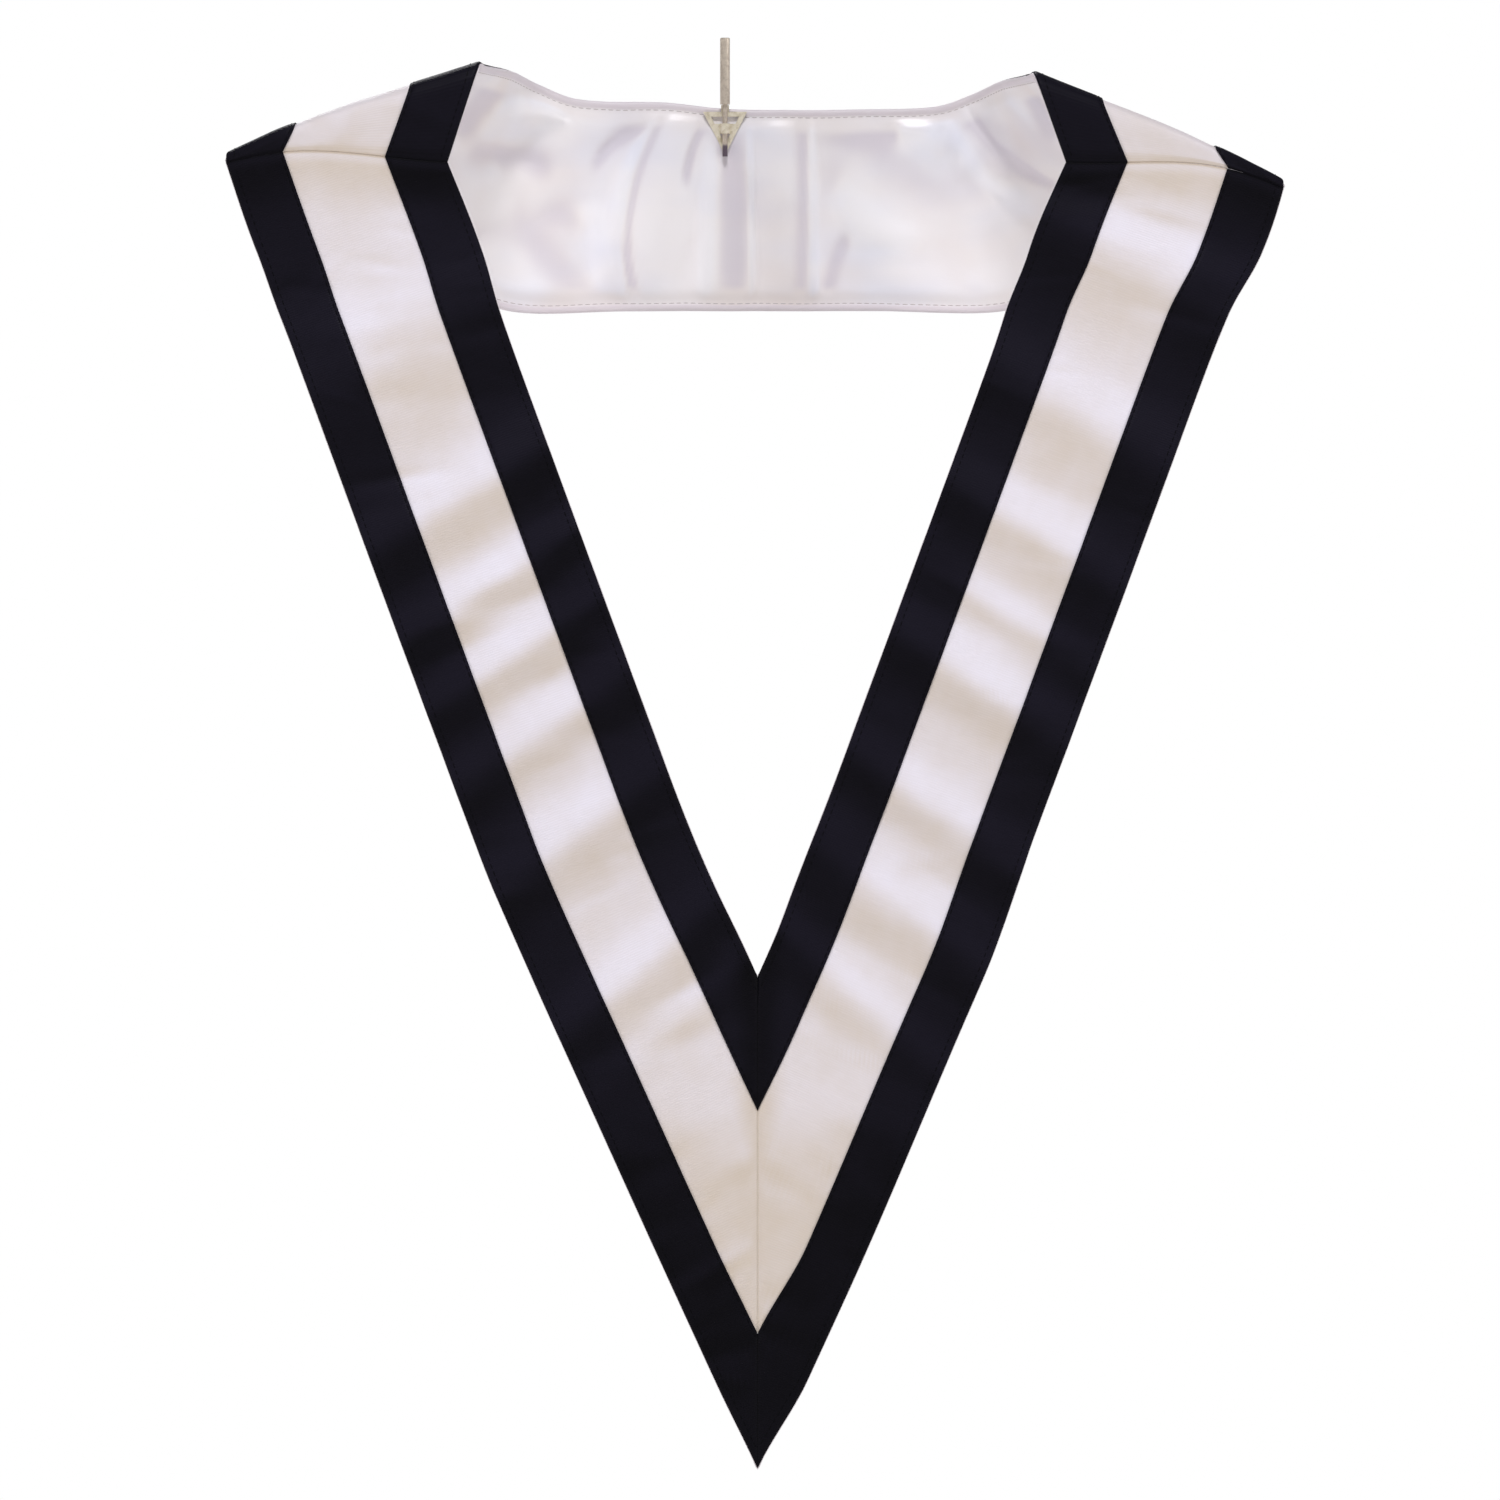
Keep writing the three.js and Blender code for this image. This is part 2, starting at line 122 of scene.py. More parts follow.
class Graph:
    """The nodes of one material or of the surroundings."""

    def __init__(self, tree: bpy.types.NodeTree) -> None:
        """Takes a node tree to add nodes to."""
        self.tree = tree

    def feed(self, socket: bpy.types.NodeSocket, value: Any) -> None:
        """Sets a socket to a number, colour or vector, or links it to another node."""
        if isinstance(value, Link):
            self.tree.links.new(value.socket, socket)
        else:
            socket.default_value = value

    def add(self, kind: str, settings: dict[str, Any], sockets: dict[Any, Any], out: Any = 0) -> Link:
        """Adds any node.

        Args:
            kind: the node's type.
            settings: the node's own settings; "stops" are a ramp's places and colours.
            sockets: the values or links of its inputs, by name or number.
            out: the output that is wanted, by name or number.

        Returns:
            That output.
        """
        node = self.tree.nodes.new(kind)
        for key, value in settings.items():
            if key == "stops":
                for i, (place, colour) in enumerate(value):
                    stops = node.color_ramp.elements
                    stop = stops[i] if i < 2 else stops.new(place)
                    stop.position, stop.color = place, colour
            else:
                setattr(node, key, value)
        for key, value in sockets.items():
            self.feed(node.inputs[key], value)
        return Link(self, node.outputs[out])

    def place(self) -> Link:
        """The point of the object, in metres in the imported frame."""
        return self.add("ShaderNodeTexCoord", {}, {}, "Object")

    def parts(self, at: Link) -> tuple[Link, ...]:
        """A vector's three values."""
        split = self.add("ShaderNodeSeparateXYZ", {}, {0: at})
        return tuple(Link(self, output) for output in split.socket.node.outputs)

    def cloth(self) -> tuple[Link, ...]:
        """The place along the band and the place across it, in metres, from the piece's own map."""
        return self.parts(self.add("ShaderNodeUVMap", {"uv_map": "cloth"}, {}, "UV"))[:2]

    def reading(self, name: str) -> Link:
        """A number that the piece's mesh carries at each corner."""
        return self.add("ShaderNodeAttribute", {"attribute_name": name}, {}, "Fac")

    def vector(self, x: Any, y: Any, z: Any = 0.0) -> Link:
        """Three values as one vector."""
        return self.add("ShaderNodeCombineXYZ", {}, {0: x, 1: y, 2: z})

    def noise(self, at: Link, scale: float, detail: float = 2.0, roughness: float = 0.5) -> Link:
        """Smooth noise from 0 to 1 at a place."""
        sockets = {"Vector": at, "Scale": scale, "Detail": detail, "Roughness": roughness}
        return self.add("ShaderNodeTexNoise", {}, sockets, "Fac")

    def mix(self, share: Any, first: Any, second: Any) -> Link:
        """A colour between two, by a share from 0 to 1."""
        settings = {"data_type": "RGBA", "clamp_factor": True}
        return self.add("ShaderNodeMix", settings, {0: share, 6: first, 7: second}, 2)

    def bump(self, height: Link, distance: float) -> Link:
        """A normal from a height; distance is the height in metres of a step of 1."""
        return self.add("ShaderNodeBump", {}, {"Height": height, "Distance": distance, "Strength": 1.0})


class Skin(Graph):
    """The nodes of one material, with a Principled shader at their end."""

    def __init__(self, name: str) -> None:
        """Makes a material of this name and its shader."""
        self.material = bpy.data.materials.new(name)
        self.material.use_nodes = True
        super().__init__(self.material.node_tree)
        self.tree.nodes.clear()
        self.shader = self.tree.nodes.new("ShaderNodeBsdfPrincipled")
        output = self.tree.nodes.new("ShaderNodeOutputMaterial")
        self.tree.links.new(self.shader.outputs[0], output.inputs[0])

    def finish(self, **sockets: Any) -> bpy.types.Material:
        """Sets the shader's sockets, named with _ for each space, and gives the material."""
        for key, value in sockets.items():
            self.feed(self.shader.inputs[key.replace("_", " ")], value)
        return self.material


def tone(red: float, green: float, blue: float) -> Colour:
    """A colour of the picture, from 0 to 255, as the shader's linear colour."""
    def linear(level: float) -> float:
        """One channel's linear value."""
        share = level / 255
        return share / 12.92 if share <= 0.04045 else ((share + 0.055) / 1.055) ** 2.4
    return (linear(red), linear(green), linear(blue), 1.0)


@dataclass(frozen=True)
class Ribbed:
    """A ribbed ribbon: fine ribs across the band, a thread's grain along them, soft mottling, and painted shade
    where the cloth faces down and in the rib hollows.
    """

    name: str
    light: Colour
    dark: Colour
    seam: Colour
    roughness: float
    gloss: float
    sheen: float
    sheen_tint: Colour
    rib: float = 1.15
    rib_depth: float = 0.032
    rib_drift: float = 0.6
    seam_reach: float = 1.6

    def material(self) -> bpy.types.Material:
        """Ribs are a sine along the band, bent by noise; painted shade darkens cloth facing down and the rib
        hollows, and cloth is darker near seams.
        """
        g = Skin(self.name)
        along, across = g.cloth()
        drift = g.noise(g.vector(along * 30.0, across * 6.0), 9.0) - 0.5
        bent = along + drift * (self.rib_drift * MM)
        # The rib sine is both the bump's height and, in the colour below, painted shade in the hollows between
        # ribs.
        rib = (bent * (2 * math.pi / (self.rib * MM))).sine() * 0.5 + 0.5
        grain = g.noise(g.vector(along * 1400.0, across * 260.0), 1.0, 1.0)
        mottle = g.noise(g.vector(along * 22.0, across * 34.0), 1.0, 3.0, 0.6)
        streak = g.noise(g.vector(along * 900.0, across * 12.0), 1.0, 1.0)
        # Painted shade: cloth that creases and ripples turn further down than the calm band is mixed towards
        # the dark tone.
        down = 1.0 - g.reading("tilt").between(-0.2, 0.2)
        wear = mottle.between(0.3, 0.75) * 0.14 + streak * 0.06 + grain * 0.04
        # The share of the dark tone: painted shade in the rib hollows, random wear, painted shade facing down,
        # and the darker cream near seams.
        shade = (1.0 - rib) * 0.07 + wear + down * 0.66 + g.reading("cream_share") * 0.4
        cloth = g.mix(shade, self.light, self.dark)
        # A tan line along each seam: partly the seam's own line, partly painted shade in its groove.
        near_seam = 1.0 - g.reading("seam").between(0.1, self.seam_reach)
        colour = g.mix(near_seam * 0.6, cloth, self.seam)
        height = rib + grain * 0.5 + streak * 0.3
        return g.finish(
            Base_Color=colour,
            Roughness=self.roughness + (mottle - 0.5) * 0.12,
            Normal=g.bump(height, self.rib_depth * MM),
            Specular_IOR_Level=self.gloss,
            Sheen_Weight=self.sheen,
            Sheen_Roughness=0.45,
            Sheen_Tint=self.sheen_tint,
        )


@dataclass(frozen=True)
class Satin:
    """A smooth satin: long floats along the cloth, soft patches of tint, and painted shade that warms its low
    places, greys its creases and tints its rolled rim.
    """

    name: str
    light: Colour
    cool: Colour
    warm: Colour
    rim: Colour
    crease_shade_tone: Colour
    roughness: float = 0.34
    float_depth: float = 0.03
    gloss: float = 0.6
    brushing: float = 0.35
    sheen: float = 0.12

    def material(self) -> bpy.types.Material:
        """Tints drift in broad patches of noise; threads are noise drawn out along the band; low places,
        creases and the rim get painted shade.
        """
        g = Skin(self.name)
        along, across = g.cloth()
        raised = g.reading("raised")
        low = 1.0 - raised.between(0.6, 3.0)
        patch = g.noise(g.vector(along * 16.0, across * 26.0, 3.0), 1.0, 2.0)
        other = g.noise(g.vector(along * 21.0, across * 17.0, 9.0), 1.0, 2.0)
        thread = g.noise(g.vector(along * 160.0, across * 3200.0), 1.0, 2.0)
        weft = g.noise(g.vector(along * 2600.0, across * 420.0), 1.0, 1.0)
        cool = g.mix(patch.between(0.36, 0.76) * 0.6, self.light, self.cool)
        # Warm tint: random patches, and painted shade in the lining's low places.
        both = g.mix(other.between(0.4, 0.8) * 0.4 + low * 0.35, cool, self.warm)
        from_rim = g.reading("rim")
        # Painted shade in the creases, away from the rim: low places are mixed towards the crease shade tone.
        crease_shade = (1.0 - raised.between(0.1, 1.9)) * from_rim.between(9.0, 14.0)
        crease_shaded = g.mix(crease_shade * 0.5, both, self.crease_shade_tone)
        # Painted shade of the rolled edge: the rim near each edge is mixed towards the rim tone.
        rim = 1.0 - from_rim.between(2.6, 4.2)
        colour = g.mix(rim * 0.8, crease_shaded, self.rim)
        return g.finish(
            Base_Color=colour,
            Roughness=self.roughness + (thread - 0.5) * 0.1 + rim * 0.15,
            Normal=g.bump(thread + weft * 0.4, self.float_depth * MM),
            Specular_IOR_Level=self.gloss,
            Anisotropic=self.brushing,
            Sheen_Weight=self.sheen,
            Sheen_Tint=self.cool,
        )


@dataclass(frozen=True)
class Thread:
    """A sewing thread: two twisted plies, which show as slanting ridges."""

    name: str
    light: Colour
    dark: Colour
    roughness: float = 0.5
    gloss: float = 0.3
    sheen: float = 0.2
    pitch: float = 0.45

    def material(self) -> bpy.types.Material:
        """Ridges are a sine of the length plus the way round, in the piece's own map; painted shade darkens the
        hollows between them.
        """
        g = Skin(self.name)
        length, round_it = g.cloth()
        ply = (length * (2 * math.pi / (self.pitch * MM)) + round_it * (2 * math.pi)).sine() * 0.5 + 0.5
        fuzz = g.noise(g.place(), 9000.0, 2.0)
        # The colour follows the ridges: painted shade in the ply hollows, and random fuzz.
        return g.finish(
            Base_Color=g.mix(ply * 0.7 + fuzz * 0.3, self.dark, self.light),
            Roughness=self.roughness + fuzz * 0.2,
            Normal=g.bump(ply + fuzz * 0.3, 0.05 * MM),
            Specular_IOR_Level=self.gloss,
            Sheen_Weight=self.sheen,
        )


@dataclass(frozen=True)
class Metal:
    """A plain metal: fine marks drawn along Z, patches of tarnish, and a darker tone below a height."""

    name: str
    bright: Colour
    dull: Colour
    metallic: float
    roughness: float
    marks: float
    darker_below: float = -1.0
    end_tone: Colour = tone(104, 92, 104)

    def material(self) -> bpy.types.Material:
        """Marks are noise drawn out along Z, tarnish is finer noise, and the low end is darker."""
        g = Skin(self.name)
        at = g.place()
        scaled = g.add("ShaderNodeMapping", {}, {"Vector": at, "Scale": (6000.0, 6000.0, 160.0)})
        mark = g.noise(scaled, 1.0, 2.0)
        tarnish = g.noise(at, 420.0, 4.0, 0.65)
        dull = tarnish.between(0.4, 0.7)
        low = 1.0 - g.parts(at)[2].between(self.darker_below - MM, self.darker_below + MM)
        metal = g.mix(dull * 0.8 + mark * 0.2, self.bright, self.dull)
        return g.finish(
            Base_Color=g.mix(low, metal, self.end_tone),
            Metallic=self.metallic,
            Roughness=self.roughness + dull * 0.14 + mark * 0.08,
            Normal=g.bump((mark + tarnish) * self.marks, 0.03 * MM),
        )


@dataclass(frozen=True)
class Paint:
    """The floor's matt pale paint, with a faint unevenness."""

    name: str
    light: Colour
    dark: Colour

    def material(self) -> bpy.types.Material:
        """Colour and roughness drift a little with broad noise."""
        g = Skin(self.name)
        cloud = g.noise(g.place(), 1.3, 4.0)
        grain = g.noise(g.place(), 240.0, 2.0)
        return g.finish(
            Base_Color=g.mix(cloud, self.light, self.dark),
            Roughness=0.75 + grain * 0.1,
            Normal=g.bump(grain, 0.0002),
            Specular_IOR_Level=0.25,
        )


@dataclass(frozen=True)
class Wardrobe:
    """Every finish on the collar and its floor."""

    white: bpy.types.Material
    black: bpy.types.Material
    satin: bpy.types.Material
    white_thread: bpy.types.Material
    black_thread: bpy.types.Material
    brass: bpy.types.Material
    steel: bpy.types.Material
    floor: bpy.types.Material


def finishes() -> Wardrobe:
    """Makes every finish once, with its colours and measures."""
    # The ribbons' light tones are their lit colours and their dark tones painted shade, which wear and the
    # cream near seams also mix towards; the seam tones are partly painted shade.
    white = Ribbed(
        "white ribbed ribbon", tone(239, 236, 248), tone(209, 196, 181), tone(182, 162, 132),
        roughness=0.5, gloss=0.28, sheen=0.12, sheen_tint=tone(226, 222, 244),
    )
    black = Ribbed(
        "black ribbed ribbon", tone(27, 25, 36), tone(11, 10, 14), tone(5, 5, 6),
        roughness=0.46, gloss=0.05, sheen=0.008, sheen_tint=tone(92, 90, 130), rib_depth=0.06,
    )
    # The satin's light tone is its lit colour; its warm tone serves random patches and painted shade in low
    # places, and its rim and crease shade tones are painted shade.
    satin = Satin(
        "white satin", light=tone(255, 253, 255), cool=tone(232, 237, 255), warm=tone(236, 224, 217),
        rim=tone(222, 213, 219), crease_shade_tone=tone(204, 196, 212),
    )
    white_thread = Thread("white thread", tone(222, 214, 214), tone(176, 166, 168))
    black_thread = Thread(
        "black thread", tone(13, 12, 16), tone(6, 6, 8), roughness=0.7, gloss=0.05, sheen=0.02,
    )
    brass = Metal(
        "brass", tone(244, 236, 216), tone(212, 201, 172), metallic=0.45, roughness=0.32, marks=0.4,
    )
    steel = Metal(
        "brushed steel", tone(219, 207, 191), tone(196, 184, 169), metallic=0.6, roughness=0.34,
        marks=0.15, darker_below=-0.0535,
    )
    floor = Paint("pale floor", tone(244, 243, 241), tone(238, 237, 235))
    made = (white, black, satin, white_thread, black_thread, brass, steel, floor)
    return Wardrobe(*(finish.material() for finish in made))


# Shapes as functions


def hump(distance: Array, reach: Array | float) -> Array:
    """A smooth hump of height 1 at 0: e to the minus square of distance over reach."""
    return np.exp(-((distance / reach) ** 2))


def rise(value: Array, low: float, high: float) -> Array:
    """0 below low, 1 above high, and a smooth cubic between."""
    share = np.clip((value - low) / (high - low), 0, 1)
    return share * share * (3 - 2 * share)


def lengths(line: Array) -> Array:
    """How far along a line each of its points lies: the running sum of its steps' lengths."""
    return np.concatenate([[0], np.cumsum(np.linalg.norm(np.diff(line, axis=0), axis=1))])


def level(along: Array, across: Array) -> Array:
    """A relief of no height."""
    return np.zeros(np.broadcast(along, across).shape)


def arch_over(across: Array, skew: float = 1.4) -> Array:
    """The shape of an arch over the band: the sine of pi times the share across to the power of skew."""
    return np.sin(math.pi * np.clip(across, 0, 1) ** skew)


@dataclass(frozen=True)
class Spline:
    """A smooth curve through points, with knots spaced by the square root of the points' distances."""

    points: Array

    def at(self, share: Array) -> Array:
        """The curve's points at shares of its count of stretches.

        Each stretch is a cubic that starts and ends with the slopes that its neighbours' distances give.

        Args:
            share: places from 0 to 1.

        Returns:
            One point for each place, along a last axis.
        """
        points, count = self.points, len(self.points)
        rows = np.vstack([2 * points[0] - points[1], points, 2 * points[-1] - points[-2]])
        place = np.asarray(share, float) * (count - 1)
        start = np.clip(np.floor(place), 0, count - 2).astype(int)
        t = (place - start)[..., None]
        a, b, c, d = (rows[start + k] for k in range(4))
        near, here, far = (
            np.sqrt(np.linalg.norm(end - first, axis=-1, keepdims=True))
            for first, end in ((a, b), (b, c), (c, d))
        )
        here = np.where(here < 1e-4, 1, here)
        near = np.where(near < 1e-4, here, near)
        far = np.where(far < 1e-4, here, far)
        leave = ((b - a) / near - (c - a) / (near + here) + (c - b) / here) * here
        arrive = ((c - b) / here - (d - b) / (here + far) + (d - c) / far) * here
        square, cube = 3 * (c - b) - 2 * leave - arrive, 2 * (b - c) + leave + arrive
        return b + t * (leave + t * (square + t * cube))


@dataclass(frozen=True)
class Creases:
    """Short soft creases scattered on the cloth."""

    seed: int
    count: int
    length: float
    width: float
    height: float
    slant: float = 0.0
    spread: float = 12.0
    beyond: float = 5.0

    def at(self, along: Array, across: Array, span: tuple[float, float]) -> Array:
        """How far the creases lift the cloth.

        Each is a hump across its own line times a wider hump along it, at a seeded place and slant.

        Args:
            along: mm along the band.
            across: mm across the band.
            span: the first and last place along the band that have creases.

        Returns:
            The lift in mm.
        """
        pick = np.random.default_rng(self.seed)
        middle = pick.uniform(*span, self.count)
        offset = pick.uniform(-self.beyond, Band.width + self.beyond, self.count)
        angle = np.radians(self.slant + pick.normal(0, self.spread, self.count))
        length = self.length * pick.uniform(0.5, 1.5, self.count)
        width = self.width * pick.uniform(0.6, 1.5, self.count)
        height = self.height * pick.uniform(-1, 1, self.count)
        total = level(along, across)
        for m, o, a, l, w, h in zip(middle, offset, angle, length, width, height):
            x, y = across - o, along - m
            aside, ahead = y * math.cos(a) - x * math.sin(a), x * math.cos(a) + y * math.sin(a)
            total += h * hump(aside, w) * hump(ahead, l)
        return total


@dataclass(frozen=True)
class Tuck:
    """One fold of the lining: a line between two places of the picture's plane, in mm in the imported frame."""

    start: tuple[float, float]
    end: tuple[float, float]
    bend: float
    reach: float
    lift: float
    beyond: float = 0.15
    within: float = 0.2

    def at(self, x: Array, z: Array) -> Array:
        """How far the fold lifts the cloth.

        The line is bent by a parabola; the lift is a hump of the distance from it, and fades at both ends.

        Args:
            x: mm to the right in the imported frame.
            z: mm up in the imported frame.

        Returns:
            The lift in mm.
        """
        way = np.subtract(self.end, self.start)
        length = float(np.hypot(*way))
        way = way / length
        gone = ((x - self.start[0]) * way[0] + (z - self.start[1]) * way[1]) / length
        aside = (x - self.start[0]) * way[1] - (z - self.start[1]) * way[0]
        line = self.bend * 4 * gone * (1 - gone)
        ends = rise(gone, -self.beyond, self.within) * (1 - rise(gone, 1 - self.within, 1 + self.beyond))
        return self.lift * hump(aside - line, self.reach) * ends


@dataclass(frozen=True)
class Band:
    """The band's sizes in mm, which are the same all the way round, and how its cloth behaves at a seam."""

    width: float = 101.6
    border: float = 28.0
    step: float = 2.0
    close_steps: tuple[float, ...] = (0.0, 0.12, 0.35, 0.7, 1.2)
    seam_gap: float = 0.02
    seam_round: float = 0.5
    seam_thin: float = 0.25
    seam_calm: float = 12.0
    pucker_depth: float = 0.45
    pucker_reach: float = 3.0
    cream_near: float = 4.0
    cream_far: float = 38.0


class Stretch:
    """A stretch of the band between two seams.

    Its surfaces take shares along and across the band. Each kind of stretch gives its calm surface, its plain
    one with ripples or folds, its station in mm along the band, and the span of stations that have creases.
    """

    band = Band()
    calm: Surface
    plain: Surface
    station: Surface
    span: Callable[[], tuple[float, float]]
    creases: tuple[Creases, ...]
    cream = 1.0
    nudge = 1e-3
    inward = 0.9

    def crest(self, along: Array, across: Array) -> Array:
        """How far the ripples' sharper crests lift the surface, in mm."""
        return level(along, across)

    def crumple(self, along: Array, across: Array) -> Array:
        """Crests, scattered creases, and a shallow pucker that sinks towards each seam, in mm."""
        at = self.station(along, across)
        creases = sum(c.at(at, across * self.band.width, self.span()) for c in self.creases)
        seam, band = self.from_seam(along, across), self.band
        lift = (self.crest(along, across) + creases) * rise(seam, 0, band.seam_calm)
        return lift - band.pucker_depth * hump(seam, band.pucker_reach)

    def slope(self, surface: Surface, along: Array, across: Array) -> Array:
        """The outward side: the cross product of the slopes along and across, a little inside the edges."""
        u, v = np.broadcast_arrays(along, 0.5 + (across - 0.5) * self.inward)
        before, after = np.clip(u - self.nudge, 0, 1), np.clip(u + self.nudge, 0, 1)
        lengthwise = surface(after, v) - surface(before, v)
        crosswise = surface(u, v + self.nudge) - surface(u, v - self.nudge)
        side = np.cross(lengthwise, crosswise)
        return side / np.linalg.norm(side, axis=-1, keepdims=True)

    def worn(self, along: Array, across: Array) -> Array:
        """The surface with its small creases, each lifted along the outward side."""
        along, across = np.broadcast_arrays(along, across)
        lift = self.crumple(along, across)[..., None]
        return self.plain(along, across) + lift * self.slope(self.plain, along, across)

    def off(self, along: Array, across: Array, lift: Array) -> Array:
        """The worn surface's points moved off it by lift mm."""
        along, across = np.broadcast_arrays(along, across)
        return self.worn(along, across) + np.asarray(lift)[..., None] * self.slope(self.worn, along, across)

    def stops(self) -> Array:
        """Shares along the band at even steps, closer together at both seams."""
        fine = np.linspace(0, 1, SAMPLES)
        gone = lengths(self.plain(fine, np.full_like(fine, 0.5)))
        close = np.array(self.band.close_steps)
        step = self.band.step
        even = np.linspace(step, gone[-1] - step, int(gone[-1] / step))
        return np.interp(np.concatenate([close, even, gone[-1] - close[::-1]]), gone, fine)

    def from_seam(self, along: Array, across: Array) -> Array:
        """Mm to the nearer of the two seams."""
        start, end = (self.station(np.full_like(along, place), across) for place in (0, 1))
        return np.minimum(along, 1 - along) * np.abs(end - start)

    def from_rim(self, across: Array) -> Array:
        """Mm to the nearer edge of the band."""
        return np.minimum(across, 1 - across) * self.band.width

    def cream_share(self, along: Array, across: Array) -> Array:
        """How far the ribbon's colour is pushed towards its darker cream tone, from 0 to 1: most at both seams.
        """
        seam = self.from_seam(along, across)
        return self.cream * (1 - rise(seam, self.band.cream_near, self.band.cream_far))

    def tilt(self, along: Array, across: Array) -> Array:
        """How much further up the worn surface faces than the calm one: their upward parts' difference."""
        worn, calm = self.slope(self.worn, along, across), self.slope(self.calm, along, across)
        return worn[..., 2] - calm[..., 2]

    def cut(self) -> tuple[tuple[float, float], float]:
        """The flat cut in metres: its width and longest length, and its area."""
        across = np.linspace(0, 1, 41)
        along = np.linspace(0, 1, 401)[:, None]
        line = self.plain(along, across[None, :] + 0 * along)
        each = np.linalg.norm(np.diff(line, axis=0), axis=2).sum(axis=0)
        width = self.band.width * MM
        return (width, float(each.max()) * MM), float(each.mean()) * MM * width


@dataclass(frozen=True)
class Leg(Stretch):
    """A front leg: straight from the V point, a gentle bend, then straight up to its shoulder."""

    side: Side
    seam_droop: float
    seam_arch: float
    crest_rise: float
    flare: float
    sway_high: float
    sway_low: float
    ripples: tuple[tuple[float, float, float], ...]
    creases: tuple[Creases, ...]
    length: float = 540.7
    lean: float = 20.2
    point_lean: float = 24.7
    bend_start: float = 140.0
    bend_length: float = 80.0
    chest_bow: float = 14.0
    chest_start: float = 15.5
    ripple_height: float = 2.0
    ripple_reach: float = 16.0
    ripple_slant: float = 10.0
    ripple_fade: float = 60.0
    flare_drop: float = 35.0
    flare_reach: float = 35.0
    sway_high_in: tuple[float, float] = (45.0, 75.0)
    sway_high_out: tuple[float, float] = (330.0, 400.0)
    sway_low_in: tuple[float, float] = (380.0, 560.0)
    sway_point: float = 20.0
    crest_share: float = 0.5
    cream_from: float = 455.0
    cream_to: float = 500.0

    def flat(self, up: Array, out: Array) -> tuple[Array, Array]:
        """The leg's own plane: up mm along its middle, which bends in an arc, and out mm beside it."""
        steep, slight = math.radians(self.point_lean), math.radians(self.lean)
        turn = (steep - slight) / self.bend_length
        lean = steep - turn * np.clip(up - self.bend_start, 0, self.bend_length)
        low = np.minimum(up, self.bend_start)
        high = np.maximum(up - self.bend_start - self.bend_length, 0)
        x = low * math.sin(steep) + (np.cos(lean) - math.cos(steep)) / turn + high * np.sin(lean)
        z = low * math.cos(steep) + (math.sin(steep) - np.sin(lean)) / turn + high * np.cos(lean)
        return x + out * np.cos(lean), z - out * np.sin(lean)

    def neck_corner(self) -> float:
        """The height of the shoulder seam's neck corner above the V point's seam."""
        return float(self.flat(np.array(self.length), np.array(-self.band.width / 2))[1])

    def spread(self, up: Array, out: Array) -> tuple[Array, Array]:
        """The leg's plane, spread wider below the shoulder: out grows by a share, a hump of the depth."""
        x, z = self.flat(up, out)
        return x + out * self.flare * hump(self.neck_corner() - z - self.flare_drop, self.flare_reach), z

    def seam_at(self, out: Array) -> Array:
        """Where a straight shoulder seam would cross the band, out mm from its middle, in mm up the leg."""
        skew = math.radians(self.seam_droop - self.lean)
        return self.length - (out + self.band.width / 2) * math.tan(skew)

    def station(self, along: Array, across: Array) -> Array:
        """Mm up the leg's middle: an even share of the way from the V point's seam to the shoulder's."""
        out = (across - 0.5) * self.band.width
        lean = math.radians(self.point_lean)
        low = (self.band.seam_gap / 2 - out * math.cos(lean)) / math.sin(lean)
        arch = self.seam_arch * arch_over(across) / math.cos(math.radians(self.lean))
        high = self.seam_at(out) + arch - self.band.seam_gap / 2
        return low + (high - low) * (along if self.side is Side.LEFT else 1 - along)

    def span(self) -> tuple[float, float]:
        """From below the V point's seam to the shoulder."""
        return -self.band.width, self.length

    def bow(self, height: Array) -> Array:
        """How far the chest pushes the leg forward: the square of a sine from the shoulder to the point."""
        bottom = self.band.width / 2 / math.sin(math.radians(self.point_lean)) - self.neck_corner()
        share = np.clip((height + self.chest_start) / (bottom + self.chest_start), 0, 1)
        return -self.chest_bow * np.sin(math.pi * share) ** 2

    def sway(self, height: Array, x: Array) -> Array:
        """How far the leg strays outward: a smooth step high up, another low down, none at the point."""
        high = rise(-height, *self.sway_high_in) * (1 - rise(-height, *self.sway_high_out))
        low = rise(-height, *self.sway_low_in)
        return (self.sway_high * high + self.sway_low * low) * rise(x, 0, self.sway_point)

    def ripple(self, up: Array, out: Array) -> Array:
        """The broad ripples across the leg: a hump for each, calm at the shoulder and at the point."""
        down = self.length - up - out * math.tan(math.radians(self.ripple_slant))
        fade = rise(self.length - up, 0, self.ripple_fade / 2)
        calm = fade * rise(up, self.bend_start - self.ripple_fade, self.bend_start)
        at, lift, reach = np.array(self.ripples).T
        humps = lift * hump(down[..., None] - at * self.length, reach * self.ripple_reach)
        return -self.ripple_height * humps.sum(axis=-1) * calm

    def calm(self, along: Array, across: Array) -> Array:
        """The leg's plane, swayed aside and bowed by the chest."""
        x, z = self.spread(self.station(along, across), (across - 0.5) * self.band.width)
        height = z - self.neck_corner()
        return np.stack([self.side.value * (x + self.sway(height, x)), self.bow(height), height], axis=-1)

    def ripple_at(self, along: Array, across: Array) -> Array:
        """How far the ripples push the leg, forward below zero, at shares along and across the band."""
        return self.ripple(self.station(along, across), (across - 0.5) * self.band.width)

    def plain(self, along: Array, across: Array) -> Array:
        """The calm leg, lifted by its ripples."""
        point = self.calm(along, across)
        point[..., 1] += self.ripple_at(along, across)
        return point

    def crest(self, along: Array, across: Array) -> Array:
        """A share of the ripples' own height, outward."""
        return -self.crest_share * self.ripple_at(along, across)

